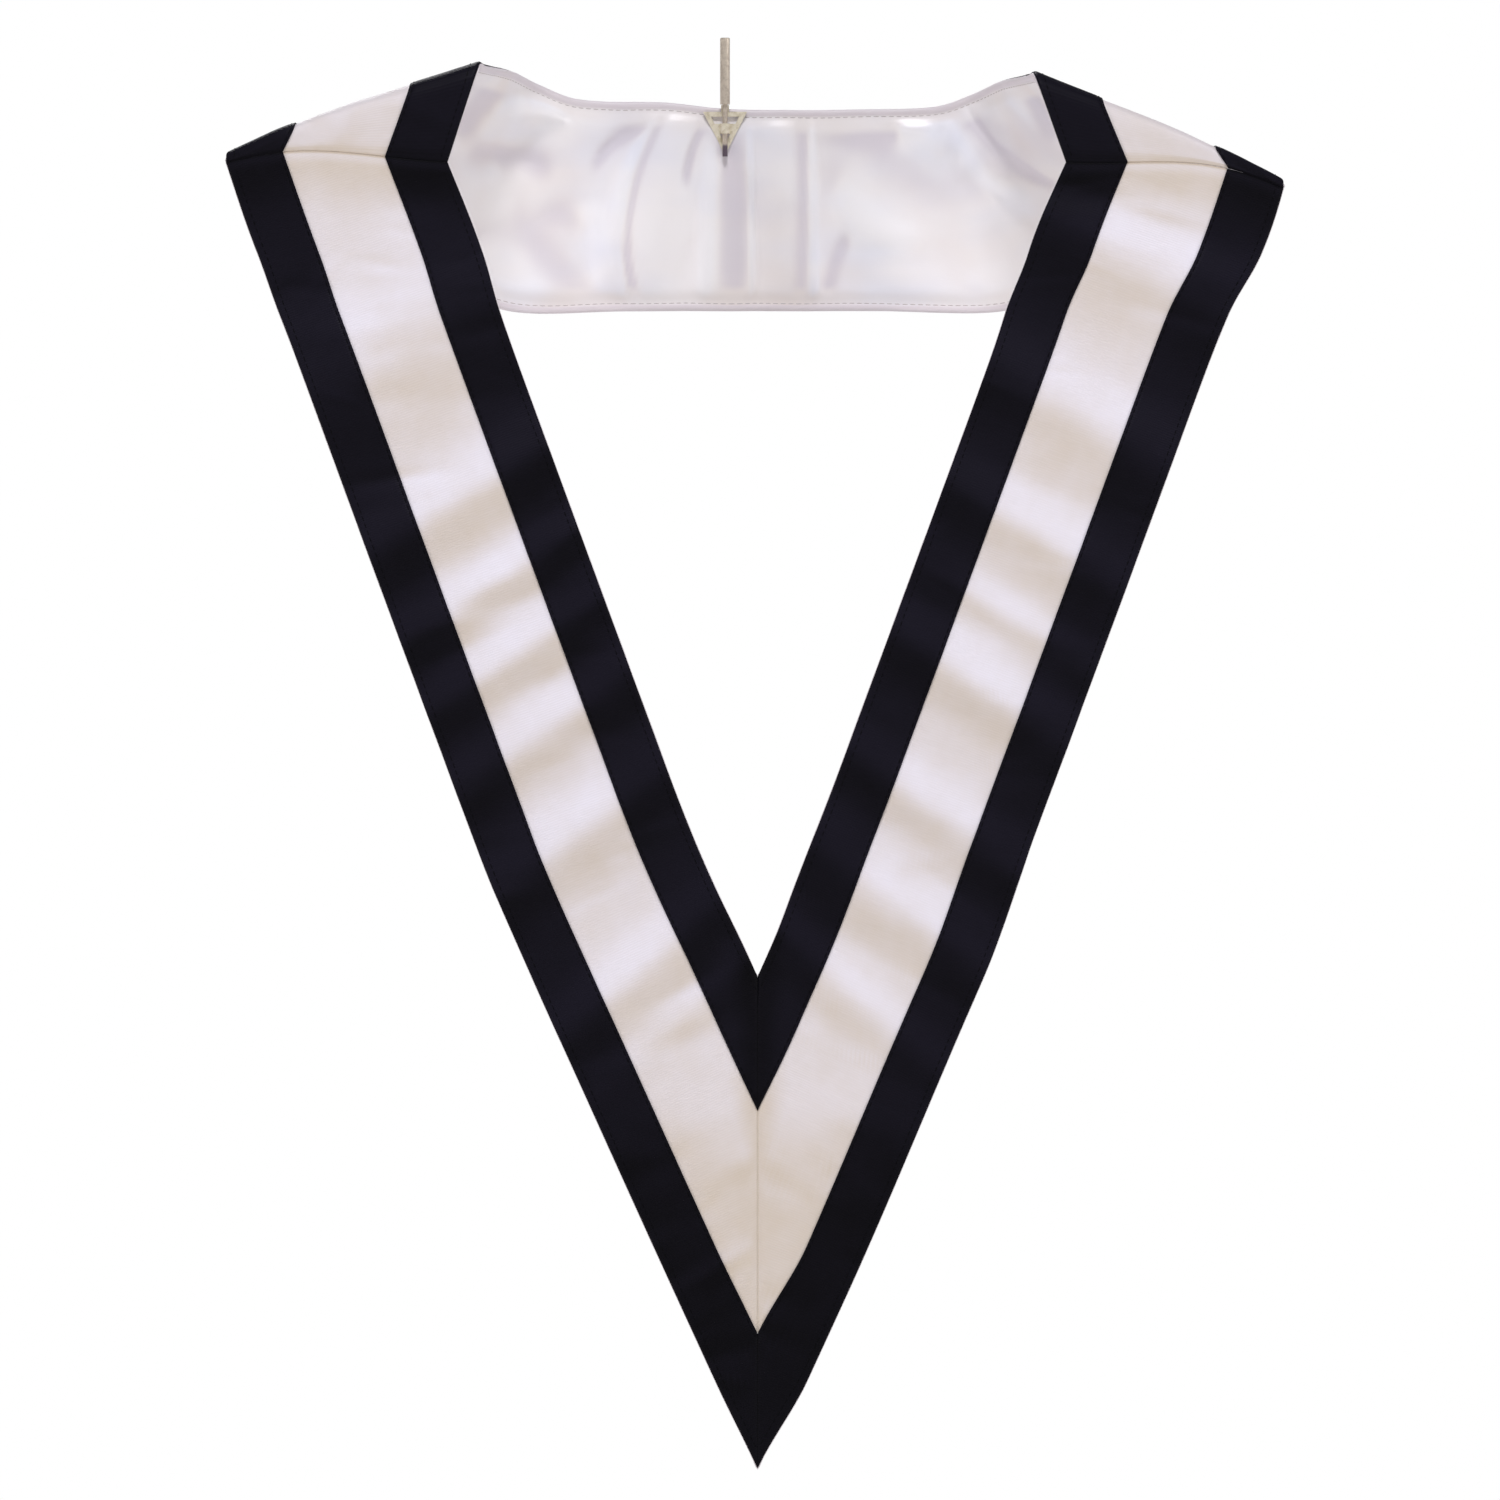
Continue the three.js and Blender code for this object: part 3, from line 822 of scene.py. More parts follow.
    def cream_share(self, along: Array, across: Array) -> Array:
        """Cream near the shoulder's seam, and over all of the V point."""
        near = super().cream_share(along, across)
        return np.maximum(near, rise(-self.calm(along, across)[..., 2], self.cream_from, self.cream_to))


@dataclass(frozen=True)
class Crossing:
    """One section across the neck piece, in shares of its sizes."""

    neck_out: float
    neck_back: float
    neck_up: float
    outer_out: float
    outer_back: float
    outer_down: float
    crown: float


@dataclass
class Nape(Stretch):
    """The neck piece: from one shoulder seam over the crest, round the back and down to the other."""

    left: Leg
    right: Leg
    creases: tuple[Creases, ...]
    crossings: tuple[Crossing, ...]
    folds: tuple[tuple[float, float, float, float], ...]
    crest_crown: float = 4.0
    depth: float = 130.0
    neck_rise: float = 33.0
    fold_height: float = 3.0
    fold_reach: float = 9.0
    clip_offset: float = 16.2
    fold_from: float = 0.25
    hem_calm: float = 0.6
    hem_from: float = 0.8
    back_edge: tuple[float, float] = (0.8, 1.2)
    pinch_reach: float = 22.0
    pinch_fade: tuple[float, float] = (0.25, 0.5)
    cream: float = 0.25
    neck_line: Spline = field(init=False)
    outer_line: Spline = field(init=False)
    arch_line: Spline = field(init=False)
    back_half: float = field(init=False)
    gone: tuple[Array, Array] = field(init=False)

    def __post_init__(self) -> None:
        """Draws the piece's two edges and its crown as smooth curves through every section."""
        hem = self.neck_rise - self.band.width
        rows: list[list[tuple[Array, Array, float, float]]] = []
        for leg in (self.left, self.right):
            ends = []
            for out in (-self.band.width / 2, self.band.width / 2):
                x, z = leg.spread(leg.seam_at(np.array(out)), np.array(out))
                height = z - leg.neck_corner() + self.band.seam_gap / 2
                ends.append(np.array([leg.side.value * x, 0, height]))
            neck, outer = ends
            aside = leg.side.value * leg.seam_arch * math.tan(math.radians(leg.lean))
            half = [(neck, outer, aside, leg.seam_arch)]
            for c in self.crossings:
                fall = outer[2] + (hem - outer[2]) * c.outer_down
                half.append((
                    np.array([neck[0] * c.neck_out, self.depth * c.neck_back, leg.crest_rise * c.neck_up]),
                    np.array([outer[0] * c.outer_out, self.depth * c.outer_back, fall]),
                    0.0,
                    self.crest_crown * c.crown,
                ))
            rows.append(half)
        top, bottom = (np.array([-self.clip_offset, self.depth, z]) for z in (self.neck_rise, hem))
        ordered = [*rows[0], (top, bottom, 0.0, 0.0), *rows[1][::-1]]
        self.neck_line = Spline(np.array([row[0] for row in ordered], float))
        self.outer_line = Spline(np.array([row[1] for row in ordered], float))
        self.arch_line = Spline(np.array([[i, *row[2:]] for i, row in enumerate(ordered)], float))
        self.back_half = abs(float(rows[0][-2][0][0]))
        fine = np.linspace(0, 1, SAMPLES)
        self.gone = fine, lengths((self.neck_line.at(fine) + self.outer_line.at(fine)) / 2)

    def span(self) -> tuple[float, float]:
        """From one shoulder seam to the other."""
        return 0.0, float(self.gone[1][-1])

    def fold(self, x: Array, across: Array) -> Array:
        """The folds that fan out below the clip: a hump on each slanting line, calm near the clip."""
        from_clip = x + self.clip_offset
        pinch = hump(from_clip, self.pinch_reach) * (1 - rise(across, *self.pinch_fade))
        near_hem = self.hem_calm * rise(across, self.hem_from, 1)
        calm = (1 - pinch) * rise(across, 0, self.fold_from) * (1 - near_hem)
        inner = 1 - rise(np.abs(x), *(share * self.back_half for share in self.back_edge))
        top, hem, lift, reach = np.array(self.folds).T
        line = self.back_half * (top + (hem - top) * across[..., None])
        humps = lift * hump(from_clip[..., None] - line, reach * self.fold_reach)
        return self.fold_height * humps.sum(axis=-1) * calm * inner

    def calm(self, along: Array, across: Array) -> Array:
        """Straight from the neck edge to the outer edge, with the arch over the crest."""
        neck, outer = self.neck_line.at(along), self.outer_line.at(along)
        point = neck + (outer - neck) * across[..., None]
        arch = self.arch_line.at(along) * arch_over(across)[..., None]
        point[..., 0] += arch[..., 1]
        point[..., 2] += arch[..., 2]
        return point

    def plain(self, along: Array, across: Array) -> Array:
        """The calm neck piece, with its folds at the back."""
        point = self.calm(along, across)
        behind = rise(point[..., 1], self.depth * self.back_edge[0], self.depth)
        point[..., 1] += behind * self.fold(point[..., 0], across)
        return point

    def station(self, along: Array, across: Array) -> Array:
        """Mm along the middle of the neck piece."""
        return np.interp(along, *self.gone) + 0 * across


@dataclass(frozen=True)
class Section:
    """The section of a cloth wall: its middle line across the band, its own thickness and rounded ends."""

    path: Array
    half: float
    step: float = 2.2
    fine: float = 4.0
    fine_step: float = 0.4
    end_steps: tuple[float, ...] = (0.02, 0.12, 0.35, 0.7)
    nudge: float = 0.05

    def chains(self) -> tuple[Array, Array, Array]:
        """The wall's two faces across the band.

        The middle line is walked with close steps near both ends; each face stands off it by the half
        thickness, which falls to nothing at the ends like a circle.

        Returns:
            Upper points, lower points, and mm along the middle line.
        """
        gone = lengths(self.path)
        total = gone[-1]
        fine = np.arange(self.half, self.fine, self.fine_step)
        start = np.concatenate([np.array(self.end_steps) * self.half, fine])
        count = max(2, int((total - 2 * self.fine) / self.step))
        middle = np.linspace(self.fine, total - self.fine, count)
        at = np.concatenate([start, middle, total - start[::-1]])
        place, ahead, behind = (
            np.stack([np.interp(at + shift, gone, column) for column in self.path.T], axis=1)
            for shift in (0.0, self.nudge, -self.nudge)
        )
        way = ahead - behind
        way /= np.linalg.norm(way, axis=1, keepdims=True)
        side = np.stack([-way[:, 1], way[:, 0]], axis=1)
        inside = np.clip(np.minimum(at, total - at) / self.half, 0, 1)
        half = self.half * np.sqrt(1 - (1 - inside) ** 2)
        return place + side * half[:, None], place - side * half[:, None], at


@dataclass(frozen=True)
class Stack:
    """How the layers lie on each other, in mm off the band's surface, and close round its edges."""

    ribbon: float = -0.5
    border: float = 0.55
    lining: float = -1.8
    ribbon_half: float = 0.45
    border_half: float = 0.4
    lining_half: float = 0.45
    turn: float = 1.3
    border_turn: tuple[float, float] = (86.0, 0.0)
    lining_turn: tuple[float, float] = (96.0, 180.0)
    lip: float = 2.5
    lip_press: float = 0.2
    hidden: float = 1.4

    def arc(self, start: float, end: float, radius: float) -> Array:
        """A turn round the neck edge, from one angle off straight up to another, in degrees."""
        angle = np.radians(np.linspace(start, end, 12))
        middle = self.turn + self.lining_half
        return np.stack([middle - radius * np.sin(angle), self.ribbon + radius * np.cos(angle)], axis=1)

    def border_section(self, edge: Edge, band: Band) -> Section:
        """A border: round the edge of the band, then flat to its lip, which is pressed on to the ribbon."""
        turn = self.arc(*self.border_turn, self.border - self.ribbon)
        lip = [[band.border - self.lip, self.border], [band.border, self.border - self.lip_press]]
        path = np.vstack([turn, lip])
        if edge is Edge.OUTER:
            path = np.stack([band.width - path[::-1, 0], path[::-1, 1]], axis=1)
        return Section(path, self.border_half)

    def ribbon_section(self, band: Band) -> Section:
        """The ribbon: flat from edge to edge, hidden by the borders at both."""
        ends = np.array([[self.hidden, self.ribbon], [band.width - self.hidden, self.ribbon]])
        return Section(ends, self.ribbon_half)

    def lining_section(self, band: Band) -> Section:
        """The lining: up round the neck edge, flat behind the band, and up round the outer edge."""
        turn = self.arc(*self.lining_turn, self.ribbon - self.lining)
        other = np.stack([band.width - turn[::-1, 0], turn[::-1, 1]], axis=1)
        return Section(np.vstack([turn, other]), self.lining_half)


# Meshes


def make_mesh(name: str, points: Array, faces: Array, corners: Array | None = None,
              readings: dict[str, Array] | None = None) -> bpy.types.Object:
    """A mesh object from whole arrays.

    Args:
        name: the object's name.
        points: its vertices in metres.
        faces: four vertex numbers for each face.
        corners: the cloth map's two numbers for each vertex.
        readings: numbers that each vertex carries, by name.

    Returns:
        The object, at the origin.
    """
    mesh = bpy.data.meshes.new(name)
    mesh.vertices.add(len(points))
    mesh.vertices.foreach_set("co", points.astype(np.float32).ravel())
    mesh.loops.add(faces.size)
    mesh.loops.foreach_set("vertex_index", faces.astype(np.int32).ravel())
    mesh.polygons.add(len(faces))
    mesh.polygons.foreach_set("loop_start", np.arange(0, faces.size, 4, dtype=np.int32))
    mesh.update(calc_edges=True)
    if corners is not None:
        layer = mesh.uv_layers.new(name="cloth")
        layer.data.foreach_set("uv", corners[faces.ravel()].astype(np.float32).ravel())
    for key, values in (readings or {}).items():
        store = mesh.attributes.new(key, "FLOAT", "POINT")
        store.data.foreach_set("value", values.astype(np.float32).ravel())
    mesh.polygons.foreach_set("use_smooth", np.ones(len(faces), bool))
    mesh.validate()
    piece = bpy.data.objects.new(name, mesh)
    bpy.context.scene.collection.objects.link(piece)
    return piece


def loop_faces(rows: int, around: int) -> Array:
    """The faces of a grid of closed loops: each joins two places of a loop with the next loop's."""
    i, k = np.meshgrid(np.arange(rows - 1), np.arange(around), indexing="ij")
    ahead = (k + 1) % around
    quads = [i * around + k, (i + 1) * around + k, (i + 1) * around + ahead, i * around + ahead]
    return np.stack(quads, axis=-1).reshape(-1, 4)


def to_frame(points: Array) -> Array:
    """Points of the cloth, in mm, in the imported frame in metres."""
    return (points + PLACE) * MM


def cloth_wall(name: str, stretch: Stretch, section: Section, relief: Relief = level) -> bpy.types.Object:
    """A closed wall of cloth: a section carried along a stretch of the band.

    A point is the worn surface's point at its share along and across, moved off by the section's height and
    the relief. The wall thins like a circle close to both seams, and ends in flat caps.

    Args:
        name: the object's name.
        stretch: the stretch of the band.
        section: the wall's section.
        relief: a further lift in mm, from shares along and across.

    Returns:
        The object.
    """
    band = stretch.band
    upper, lower, length = section.chains()
    middle = (upper + lower) / 2
    ring = np.vstack([upper, lower[::-1]])
    centre = np.vstack([middle, middle[::-1]])
    around_length = np.concatenate([length, length[::-1]])
    along, across = np.broadcast_arrays(stretch.stops()[:, None], ring[None, :, 0] / band.width)
    seam = stretch.from_seam(along, across)
    inside = np.clip(seam / band.seam_round, 0, 1)
    thin = band.seam_thin + (1 - band.seam_thin) * np.sqrt(1 - (1 - inside) ** 2)
    raised = relief(along, across)
    lift = centre[None, :, 1] + (ring[None, :, 1] - centre[None, :, 1]) * thin + raised
    points = to_frame(stretch.off(along, across, lift))
    rows, around = across.shape
    faces = loop_faces(rows, around)
    near = np.arange(len(length) - 1)
    cap = np.stack([near, near + 1, around - 2 - near, around - 1 - near], axis=1)
    far = cap[:, ::-1] + (rows - 1) * around
    station = stretch.station(along, across) * MM
    corners = np.stack([station, around_length[None, :] * MM + 0 * station], axis=-1).reshape(-1, 2)
    readings = {
        "seam": seam,
        "rim": stretch.from_rim(across),
        "tilt": stretch.tilt(along, across),
        "raised": -raised,
        "cream_share": stretch.cream_share(along, across),
    }
    return make_mesh(name, points.reshape(-1, 3), np.vstack([faces, cap, far]), corners, readings)


@dataclass(frozen=True)
class Row:
    """A row of stitches along a stretch of the band, in mm, at a place across it and a level off it."""

    across: float
    level: float
    out: int = 1
    length: float = 2.9
    gap: float = 0.9
    radius: float = 0.24
    ends: float = 0.55
    rise: float = 0.16
    sunk: float = 0.12
    inset: float = 2.0

    def stitches(self, stretch: Stretch, relief: Relief) -> tuple[Array, Array, Array]:
        """All the row's stitches at once.

        A stitch is a round thread of six sides. Its middle line leaves the cloth, lies on it and dives again,
        like a sine flattened on top; its radius swells a little between its ends.

        Args:
            stretch: the stretch of the band.
            relief: the lift of the cloth below, in mm.

        Returns:
            Points in metres, faces, and the thread's own map.
        """
        fine = np.linspace(0, 1, 2001)
        share = self.across / stretch.band.width
        gone = lengths(stretch.plain(fine, np.full_like(fine, share)))
        starts = np.arange(self.inset, gone[-1] - self.inset - self.length, self.length + self.gap)
        q = np.linspace(0, 1, 8)
        place = np.interp(starts[:, None] + q[None, :] * self.length, gone, fine)
        across = np.full_like(place, share)
        arch = np.sqrt(np.clip(np.sin(math.pi * q), 0, 1))[None, :]
        lift = self.level + self.out * (self.rise * arch - self.sunk) + relief(place, across)
        middle = stretch.off(place, across, lift)
        side = stretch.slope(stretch.worn, place, across) * self.out
        way = np.gradient(middle, axis=1)
        way /= np.linalg.norm(way, axis=-1, keepdims=True)
        beside = np.cross(side, way)
        angle = np.linspace(0, 2 * math.pi, 7)[:-1]
        radius = self.radius * (self.ends + (1 - self.ends) * arch)[..., None, None]
        cosine, sine = np.cos(angle)[:, None], np.sin(angle)[:, None]
        ring = cosine * side[:, :, None, :] + sine * beside[:, :, None, :]
        points = to_frame(middle[:, :, None, :] + radius * ring)
        each = len(q) * len(angle)
        sheath = loop_faces(len(q), len(angle))[:, ::-1]
        near = np.array([[0, 1, 2, 3], [0, 3, 4, 5]])
        faces = np.vstack([sheath, near, near[:, ::-1] + each - len(angle)])
        all_faces = faces[None] + (np.arange(len(starts)) * each)[:, None, None]
        length = np.broadcast_to((q * self.length * MM)[None, :, None], points.shape[:3])
        turn = np.broadcast_to((angle / (2 * math.pi))[None, None, :], points.shape[:3])
        corners = np.stack([length, turn], axis=-1)
        return points.reshape(-1, 3), all_faces.reshape(-1, 4), corners.reshape(-1, 2)


def sew(name: str, rows: Sequence[tuple[Array, Array, Array]]) -> bpy.types.Object:
    """One piece from several rows of stitches."""
    starts = np.cumsum([0, *(len(row[0]) for row in rows[:-1])])
    points = np.vstack([row[0] for row in rows])
    faces = np.vstack([row[1] + start for row, start in zip(rows, starts)])
    return make_mesh(name, points, faces, np.vstack([row[2] for row in rows]))


def dress(piece: bpy.types.Object, material: bpy.types.Material, slot: str,
          *nodes: str) -> bpy.types.Object:
    """Gives a piece its material and body, and hides the nodes that it stands for."""
    piece.data.materials.clear()
    piece.data.materials.append(material)
    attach(piece, "root")
    if nodes:
        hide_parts(*nodes)
    return piece


# The object's sub-assemblies


@dataclass
class BandPieces:
    """One stretch of the collar: ribbon, two borders, lining and their stitches."""

    prefix: str
    neck_border: str
    stretch: Stretch
    wardrobe: Wardrobe
    rests_on: str
    stack: Stack = Stack()
    held: str = "hung"
    hem_inset: float = 4.0
    lip_inset: float = 1.5
    lip_depth: float = 0.15
    lip_reach: float = 0.8
    groove_depth: float = 0.35
    groove_reach: float = 0.9
    puff_height: float = 1.7
    puff_rise: float = 7.0
    puff_calm: float = 10.0
    soft: float = 0.5
    gather_inset: float = 6.0
    gather_reach: float = 8.0
    tucks_behind: tuple[float, float] = (8.0, 16.0)
    gather: Creases = Creases(41, 160, 9, 2.6, 0.5, 86, 14)
    billow: Creases = Creases(42, 46, 30, 9, 1.2, 70, 40)
    tucks: tuple[Tuck, ...] = ()

    def puff(self, along: Array, across: Array) -> Array:
        """The lining's own relief, away from the ribbon.

        A flat rim, a groove under its stitches, then a swell that carries broad billows and single folds,
        with short gathers near the groove. The height is bent softly so that it never falls to the ribbon:
        it is the log of one plus its exponential.

        Args:
            along: shares along the stretch.
            across: shares across the band.

        Returns:
            The lift in mm, which is negative because the lining's face looks inward.
        """
        stretch, width = self.stretch, self.stretch.band.width
        rim = stretch.from_rim(across)
        inner = rise(rim, self.hem_inset, self.hem_inset + self.puff_rise)
        at = stretch.station(along, across)
        span = (-width, float(np.max(at)))
        calm = rise(stretch.from_seam(along, across), 0, self.puff_calm)
        billow = self.billow.at(at, across * width, span)
        gather = self.gather.at(at, across * width, span)
        gather = gather * hump(rim - self.hem_inset - self.gather_inset, self.gather_reach)
        swell = (billow + gather) * calm
        if self.tucks:
            place = stretch.calm(along, across)
            x, z = place[..., 0] + PLACE[0], place[..., 2] + PLACE[2]
            behind = rise(place[..., 1], *self.tucks_behind)
            swell = swell + sum(tuck.at(x, z) for tuck in self.tucks) * behind
        groove = hump(rim - self.hem_inset, self.groove_reach) * self.groove_depth
        height = self.soft * np.logaddexp(0, (self.puff_height + swell) / self.soft)
        return groove - height * inner

    def lip(self, along: Array, across: Array) -> Array:
        """The borders' relief: a slight dip along the stitches near their lips."""
        from_lip = self.stretch.from_rim(across) - (self.stretch.band.border - self.lip_inset)
        return -self.lip_depth * hump(from_lip, self.lip_reach)

    def build(self) -> list[bpy.types.Object]:
        """Returns:
            The pieces.
        """
        band, stack, stretch, dressing = self.stretch.band, self.stack, self.stretch, self.wardrobe
        flat, area = stretch.cut()
        narrow = (band.border * MM, flat[1])
        share = area / (flat[0] * flat[1])

        ribbon_name = f"{self.prefix}_ribbon"
        ribbon = cloth_wall(f"{ribbon_name}_cloth", stretch, stack.ribbon_section(band))
        dress(ribbon, dressing.white, "white_ribbon", ribbon_name)

        lining_name = f"{self.prefix}_lining"
        lining = cloth_wall(f"{lining_name}_cloth", stretch, stack.lining_section(band), self.puff)
        dress(lining, dressing.satin, "satin_lining", lining_name)
        height = stack.lining - stack.lining_half
        rows = [
            Row(place, height, -1).stitches(stretch, self.puff)
            for place in (self.hem_inset, band.width - self.hem_inset)
        ]
        hem = dress(sew(f"{self.prefix}_hem_stitches", rows), dressing.white_thread, "satin_lining")

        pieces = [ribbon, lining, hem]
        for edge, name in ((Edge.NECK, self.neck_border), (Edge.OUTER, "outer_border")):
            node = f"{self.prefix}_{name}"
            border = cloth_wall(f"{node}_cloth", stretch, stack.border_section(edge, band), self.lip)
            dress(border, dressing.black, "black_border", node)
            height = stack.border + stack.border_half
            insets = (self.hem_inset, band.border - self.lip_inset)
            places = insets if edge is Edge.NECK else tuple(band.width - inset for inset in insets)
            rows = [Row(place, height, radius=0.2).stitches(stretch, self.lip) for place in places]
            seam = dress(sew(f"{node}_stitches", rows), dressing.black_thread, "black_border")
            narrow[0] * narrow[1] * share
            pieces += [border, seam]
        return pieces


@dataclass
class Clip:
    """The plain clip that holds the collar up: a rod and a pierced frame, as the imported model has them."""

    wardrobe: Wardrobe

    def build(self) -> None:
        """Gives the two nodes their metals."""
        for node, metal in (("clip_frame", self.wardrobe.brass), ("clip_rod", self.wardrobe.steel)):
            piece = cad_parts[node]
            piece.data.materials.clear()
            piece.data.materials.append(metal)
            LOG.info("%s: kept, with a new finish", node)


@dataclass
class Studio:
    """The pale floor, the soft light and the camera."""

    wardrobe: Wardrobe
    picture: int = 1500
    scale: float = 0.49
    centre: tuple[float, float] = (0.0125, -0.3562)
    sensor: float = 36.0
    distance: float = 6.0
    target: tuple[float, float, float] = (0.012, -0.1, -0.35)
    floor_level: float = -1.75
    floor_radius: float = 8.0
    floor_rings: int = 24
    floor_sides: int = 96

    def camera(self) -> None:
        """A long lens level with the picture's middle, whose frame is the picture's at the legs' plane."""
        data = bpy.data.cameras.new("camera")
        seen = self.picture * self.scale * MM
        data.sensor_width = self.sensor
        data.lens = self.sensor * self.distance / seen
        data.clip_end = 100.0
        camera = bpy.data.objects.new("camera", data)
        camera.location = (self.centre[0], PLACE[1] * MM - self.distance, self.centre[1])
        camera.rotation_euler = (math.pi / 2, 0, 0)
        bpy.context.scene.collection.objects.link(camera)
        bpy.context.scene.camera = camera

    def floor(self) -> None:
        """A round floor: rings about the middle, closer together near it."""
        sides = self.floor_sides
        rings = (np.linspace(0.0, 1.0, self.floor_rings) ** 1.5 * self.floor_radius)[1:, None]
        turn = np.linspace(0, 2 * math.pi, sides + 1)[None, :-1]
        height = np.full((len(rings), sides), self.floor_level)
        points = np.stack([rings * np.cos(turn), rings * np.sin(turn), height], axis=-1).reshape(-1, 3)
        first = np.arange(0, sides, 2)
        middle = np.full(len(first), len(points))
        cap = np.stack([first, (first + 1) % sides, (first + 2) % sides, middle], axis=1)
        points = np.vstack([points, [[0, 0, self.floor_level]]])
        floor = make_mesh("floor", points, np.vstack([loop_faces(len(rings), sides), cap]))
        floor.data.materials.append(self.wardrobe.floor)

    def lamp(self, name: str, place: tuple[float, float, float], size: float, power: float,
             colour: tuple[float, float, float]) -> None:
        """A square soft light at a place, turned to the collar."""
        data = bpy.data.lights.new(name, "AREA")
        data.size, data.energy, data.color = size, power, colour
        lamp = bpy.data.objects.new(name, data)
        lamp.location = place
        lamp.rotation_euler = (Vector(self.target) - Vector(place)).to_track_quat("-Z", "Y").to_euler()
        bpy.context.scene.collection.objects.link(lamp)

    def light(self) -> None:
        """Surroundings that are white at eye level, dim above and warm below, and four soft lights."""
        world = bpy.data.worlds.new("surroundings")
        bpy.context.scene.world = world
        world.use_nodes = True
        g = Graph(world.node_tree)
        way = g.add("ShaderNodeTexCoord", {}, {}, "Generated")
        white = (1.0, 1.0, 1.0, 1.0)
        stops = [
            (0.0, (0.20, 0.16, 0.13, 1.0)), (0.43, (0.24, 0.20, 0.17, 1.0)), (0.462, white),
            (0.538, white), (0.57, (0.22, 0.21, 0.21, 1.0)), (1.0, (0.18, 0.18, 0.20, 1.0)),
        ]
        shade = g.add("ShaderNodeValToRGB", {"stops": stops}, {0: g.parts(way)[2] * 0.5 + 0.5})
        background = world.node_tree.nodes["Background"]
        g.feed(background.inputs["Color"], shade)
        background.inputs["Strength"].default_value = 1.0
        self.lamp("above", (0.1, -3.6, 5.4), 1.6, 235.0, (0.97, 0.965, 1.0))
        self.lamp("right", (3.0, -2.0, -0.5), 1.2, 29.0, (1.0, 0.975, 0.96))
        self.lamp("left", (-3.0, -2.0, -0.9), 1.2, 27.0, (1.0, 0.96, 0.94))
        self.lamp("behind", (-0.8, 4.6, 3.4), 2.0, 90.0, (0.98, 0.975, 1.0))
        bpy.context.scene.view_settings.view_transform = "Standard"

    def build(self) -> None:
        """Sets up the floor, the light and the camera."""
        self.camera()
        self.floor()
        self.light()
        LOG.info("studio ready")


def legs() -> tuple[Leg, Leg]:
    """The two front legs; each ripple is its share down the leg, its height and its reach."""
    left = Leg(
        Side.LEFT, 0.1, 5.6, 49.35, 0.033, 1.2, 1.0,
        ((0.145, 1.5, 2.0), (0.294, 1.4, 1.0), (0.377, 1.0, 0.7), (0.444, 1.0, 0.75), (0.519, 0.9, 0.8),
         (0.614, 1.2, 1.0), (0.751, 1.1, 0.9), (0.82, 1.2, 0.7)),
        (Creases(11, 60, 26, 6, 0.55, 10), Creases(12, 90, 14, 3.5, 0.22, 10, 25)),
    )
    right = Leg(
        Side.RIGHT, 7.1, 6.8, 44.65, 0.075, -2.9, 4.6,
        ((0.068, 1.2, 1.35), (0.214, 1.2, 1.2), (0.328, 1.0, 0.9), (0.405, 0.4, 0.6), (0.475, 1.2, 0.9),
         (0.594, 1.0, 0.85), (0.688, 1.0, 1.1), (0.789, 1.0, 0.8)),
        (Creases(21, 60, 26, 6, 0.55, 10), Creases(22, 90, 14, 3.5, 0.22, 10, 25)),
    )
    return left, right


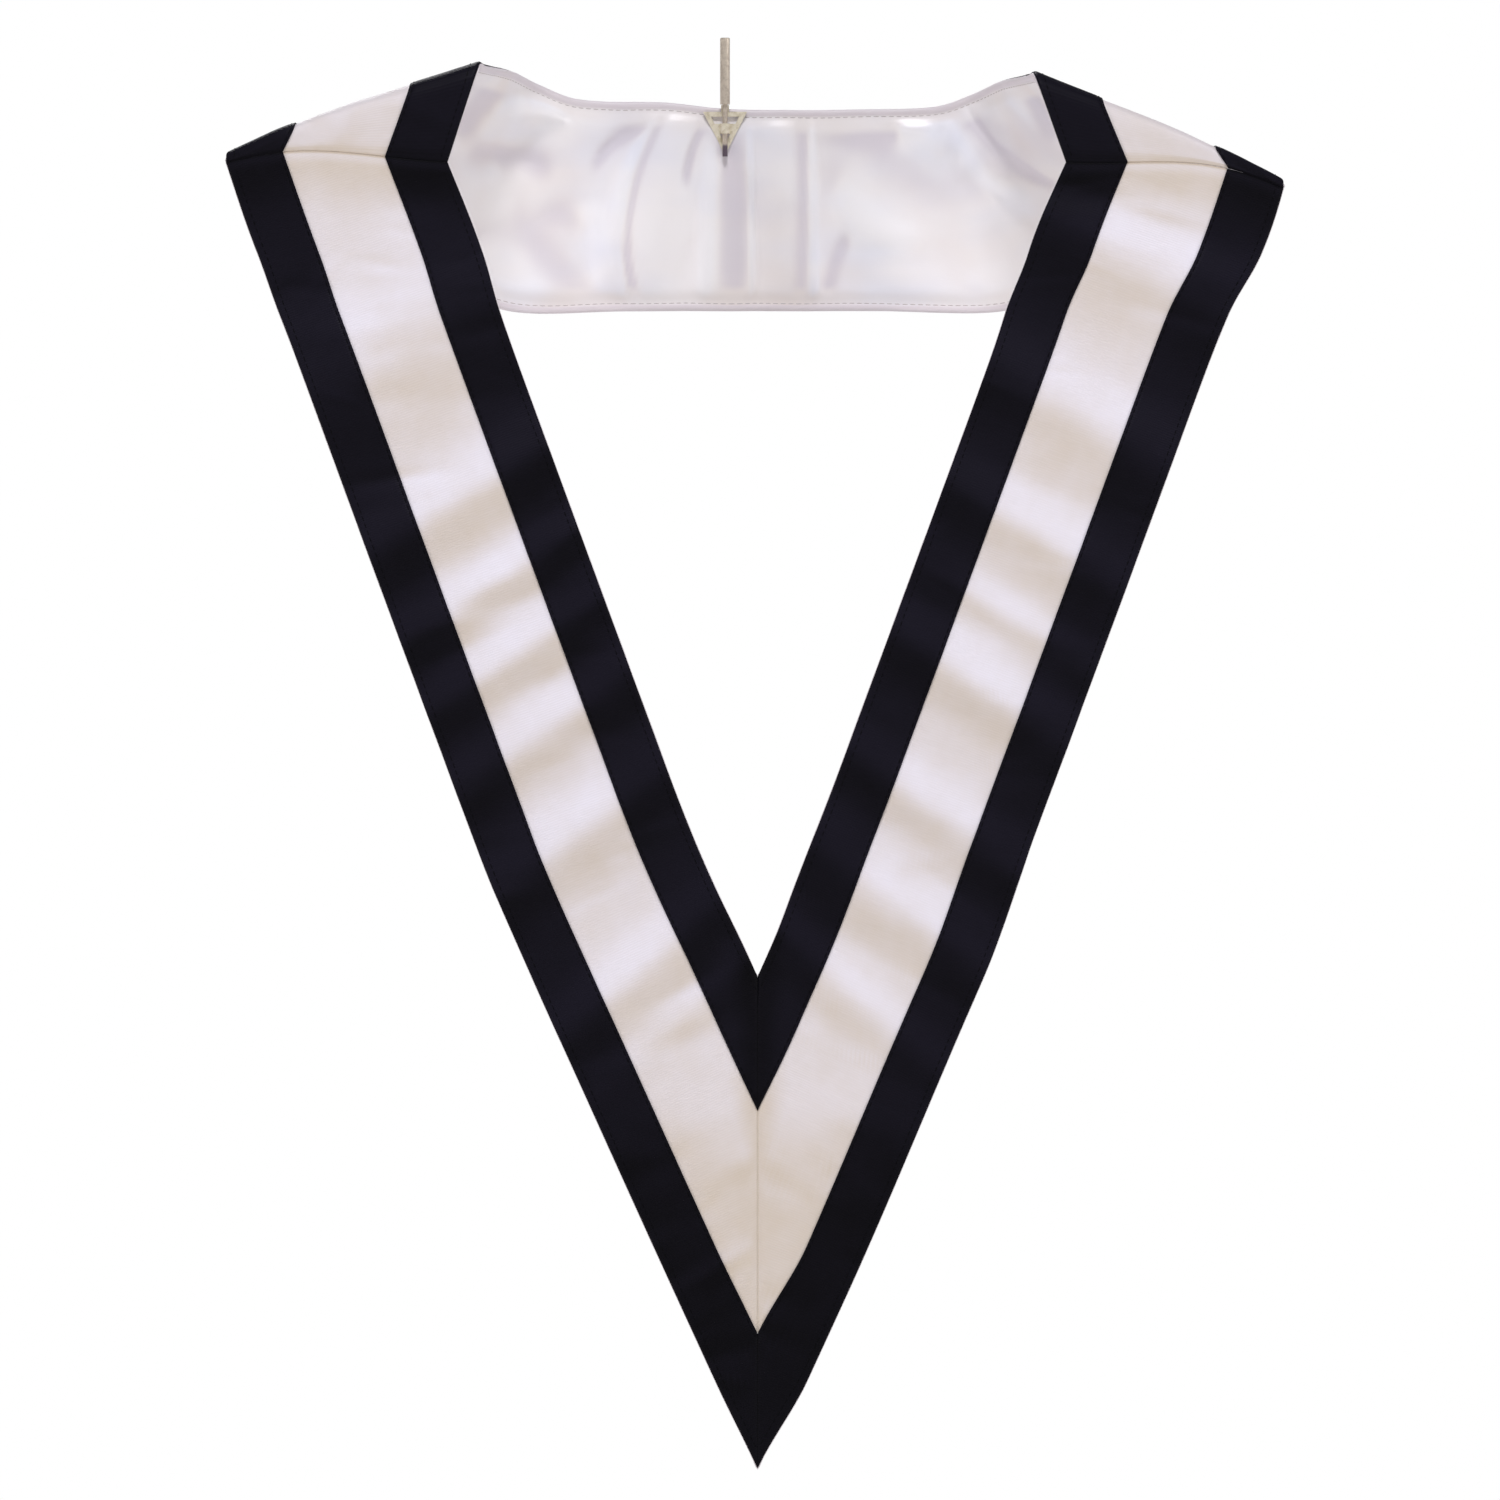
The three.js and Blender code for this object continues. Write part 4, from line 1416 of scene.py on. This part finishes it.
def back_tucks() -> tuple[Tuck, ...]:
    """The folds of the back's lining, below the clip and at both shoulders: ends, bend, reach and lift."""
    rows = (
        ((0.0, -34.0), (0.0, -62.0), 0.0, 9.0, -1.1),
        ((3.7, -56.0), (4.6, -128.0), 0.0, 6.0, -2.1),
        ((-6.5, -54.0), (-9.0, -130.0), 0.0, 4.0, 1.9),
        ((12.0, -50.0), (11.5, -130.0), 0.0, 1.8, 2.1),
        ((-8.5, -40.0), (-20.7, -72.0), 2.0, 2.4, -2.0),
        ((-28.6, -37.0), (-44.8, -132.0), 9.5, 2.4, -1.8),
        ((-36.0, -44.0), (-51.0, -128.0), 9.0, 4.5, 1.5),
        ((-52.0, -102.0), (-44.5, -134.0), 0.0, 2.4, -1.3),
        ((-70.0, -84.0), (-58.0, -124.0), -3.0, 7.0, 2.4),
        ((38.5, -36.0), (38.5, -136.0), 0.0, 3.2, -1.5),
        ((43.0, -36.0), (43.5, -136.0), 0.0, 2.4, 1.7),
        ((72.0, -34.0), (83.0, -50.0), 0.0, 2.6, -1.9),
        ((54.0, -58.0), (62.0, -96.0), 2.0, 9.0, -0.6),
        ((86.0, -44.0), (116.0, -52.0), 0.0, 12.0, 2.6),
        ((56.0, -76.0), (92.0, -104.0), 3.0, 10.0, 1.9),
        ((62.0, -98.0), (50.0, -132.0), 2.0, 4.0, -1.5),
        ((-40.0, -44.0), (-66.0, -64.0), 3.0, 3.4, -2.0),
        ((-92.0, -86.0), (-48.0, -104.0), -3.0, 8.0, -1.2),
        ((-128.0, -57.0), (-88.0, -66.0), -3.0, 7.0, -1.9),
        ((-114.0, -40.0), (-80.0, -33.0), 0.0, 8.0, 4.0),
        ((-135.0, -48.0), (-110.0, -20.0), 0.0, 6.0, -2.3),
        ((118.0, -28.0), (166.0, -74.0), 6.0, 2.6, -2.7),
        ((108.0, -34.0), (152.0, -84.0), 6.0, 6.0, 1.7),
        ((146.0, -16.0), (164.0, -50.0), 0.0, 3.0, -2.2),
    )
    return tuple(Tuck(*row) for row in rows)


def nape(left: Leg, right: Leg) -> Nape:
    """The neck piece; each fold is its places at the top and the hem, its height and its reach."""
    crossings = (
        Crossing(0.905, 0.00, 0.90, 1.000, 0.00, -0.04, 0.8),
        Crossing(0.895, 0.05, 1.00, 0.999, 0.04, -0.055, 0.8),
        Crossing(0.885, 0.10, 0.99, 0.985, 0.09, 0.00, 0.8),
        Crossing(0.865, 0.36, 1.01, 0.880, 0.33, 0.27, 1.1),
        Crossing(0.800, 0.68, 1.00, 0.710, 0.69, 0.60, 0.8),
        Crossing(0.720, 0.91, 0.90, 0.575, 0.93, 0.86, 0.2),
        Crossing(0.600, 0.99, 0.77, 0.475, 1.00, 1.00, 0.0),
        Crossing(0.300, 1.00, 0.73, 0.237, 1.00, 1.00, 0.0),
    )
    folds = (
        (-0.55, -0.90, 0.8, 1.5), (-0.20, -0.55, -1.0, 1.2), (-0.12, -0.24, 0.8, 0.9),
        (0.02, 0.04, -0.9, 0.9), (0.12, 0.20, 0.9, 0.8), (0.28, 0.45, -0.7, 1.0),
        (0.50, 0.70, 0.7, 1.3), (0.85, 1.00, -0.6, 1.6),
    )
    creases = (Creases(31, 50, 24, 5, 0.5, 88, 20), Creases(32, 90, 12, 3, 0.25, 85, 35))
    return Nape(left, right, creases, crossings, folds)


def main() -> None:
    """Builds the collar, its clip and the studio."""
    wardrobe = finishes()
    left, right = legs()
    back = nape(left, right)
    Studio(wardrobe).build()
    parts = (
        BandPieces("back", "neck_border", back, wardrobe, "clip_frame", tucks=back_tucks()),
        BandPieces("left_front", "inner_border", left, wardrobe, "back_ribbon"),
        BandPieces("right_front", "inner_border", right, wardrobe, "back_ribbon"),
    )
    for part in parts:
        for piece in part.build():
            LOG.info("%s: %d faces, on root", piece.name, len(piece.data.polygons))
    Clip(wardrobe).build()


if __name__ == "__main__":
    logging.basicConfig(level=logging.INFO, format="%(message)s")
    main()
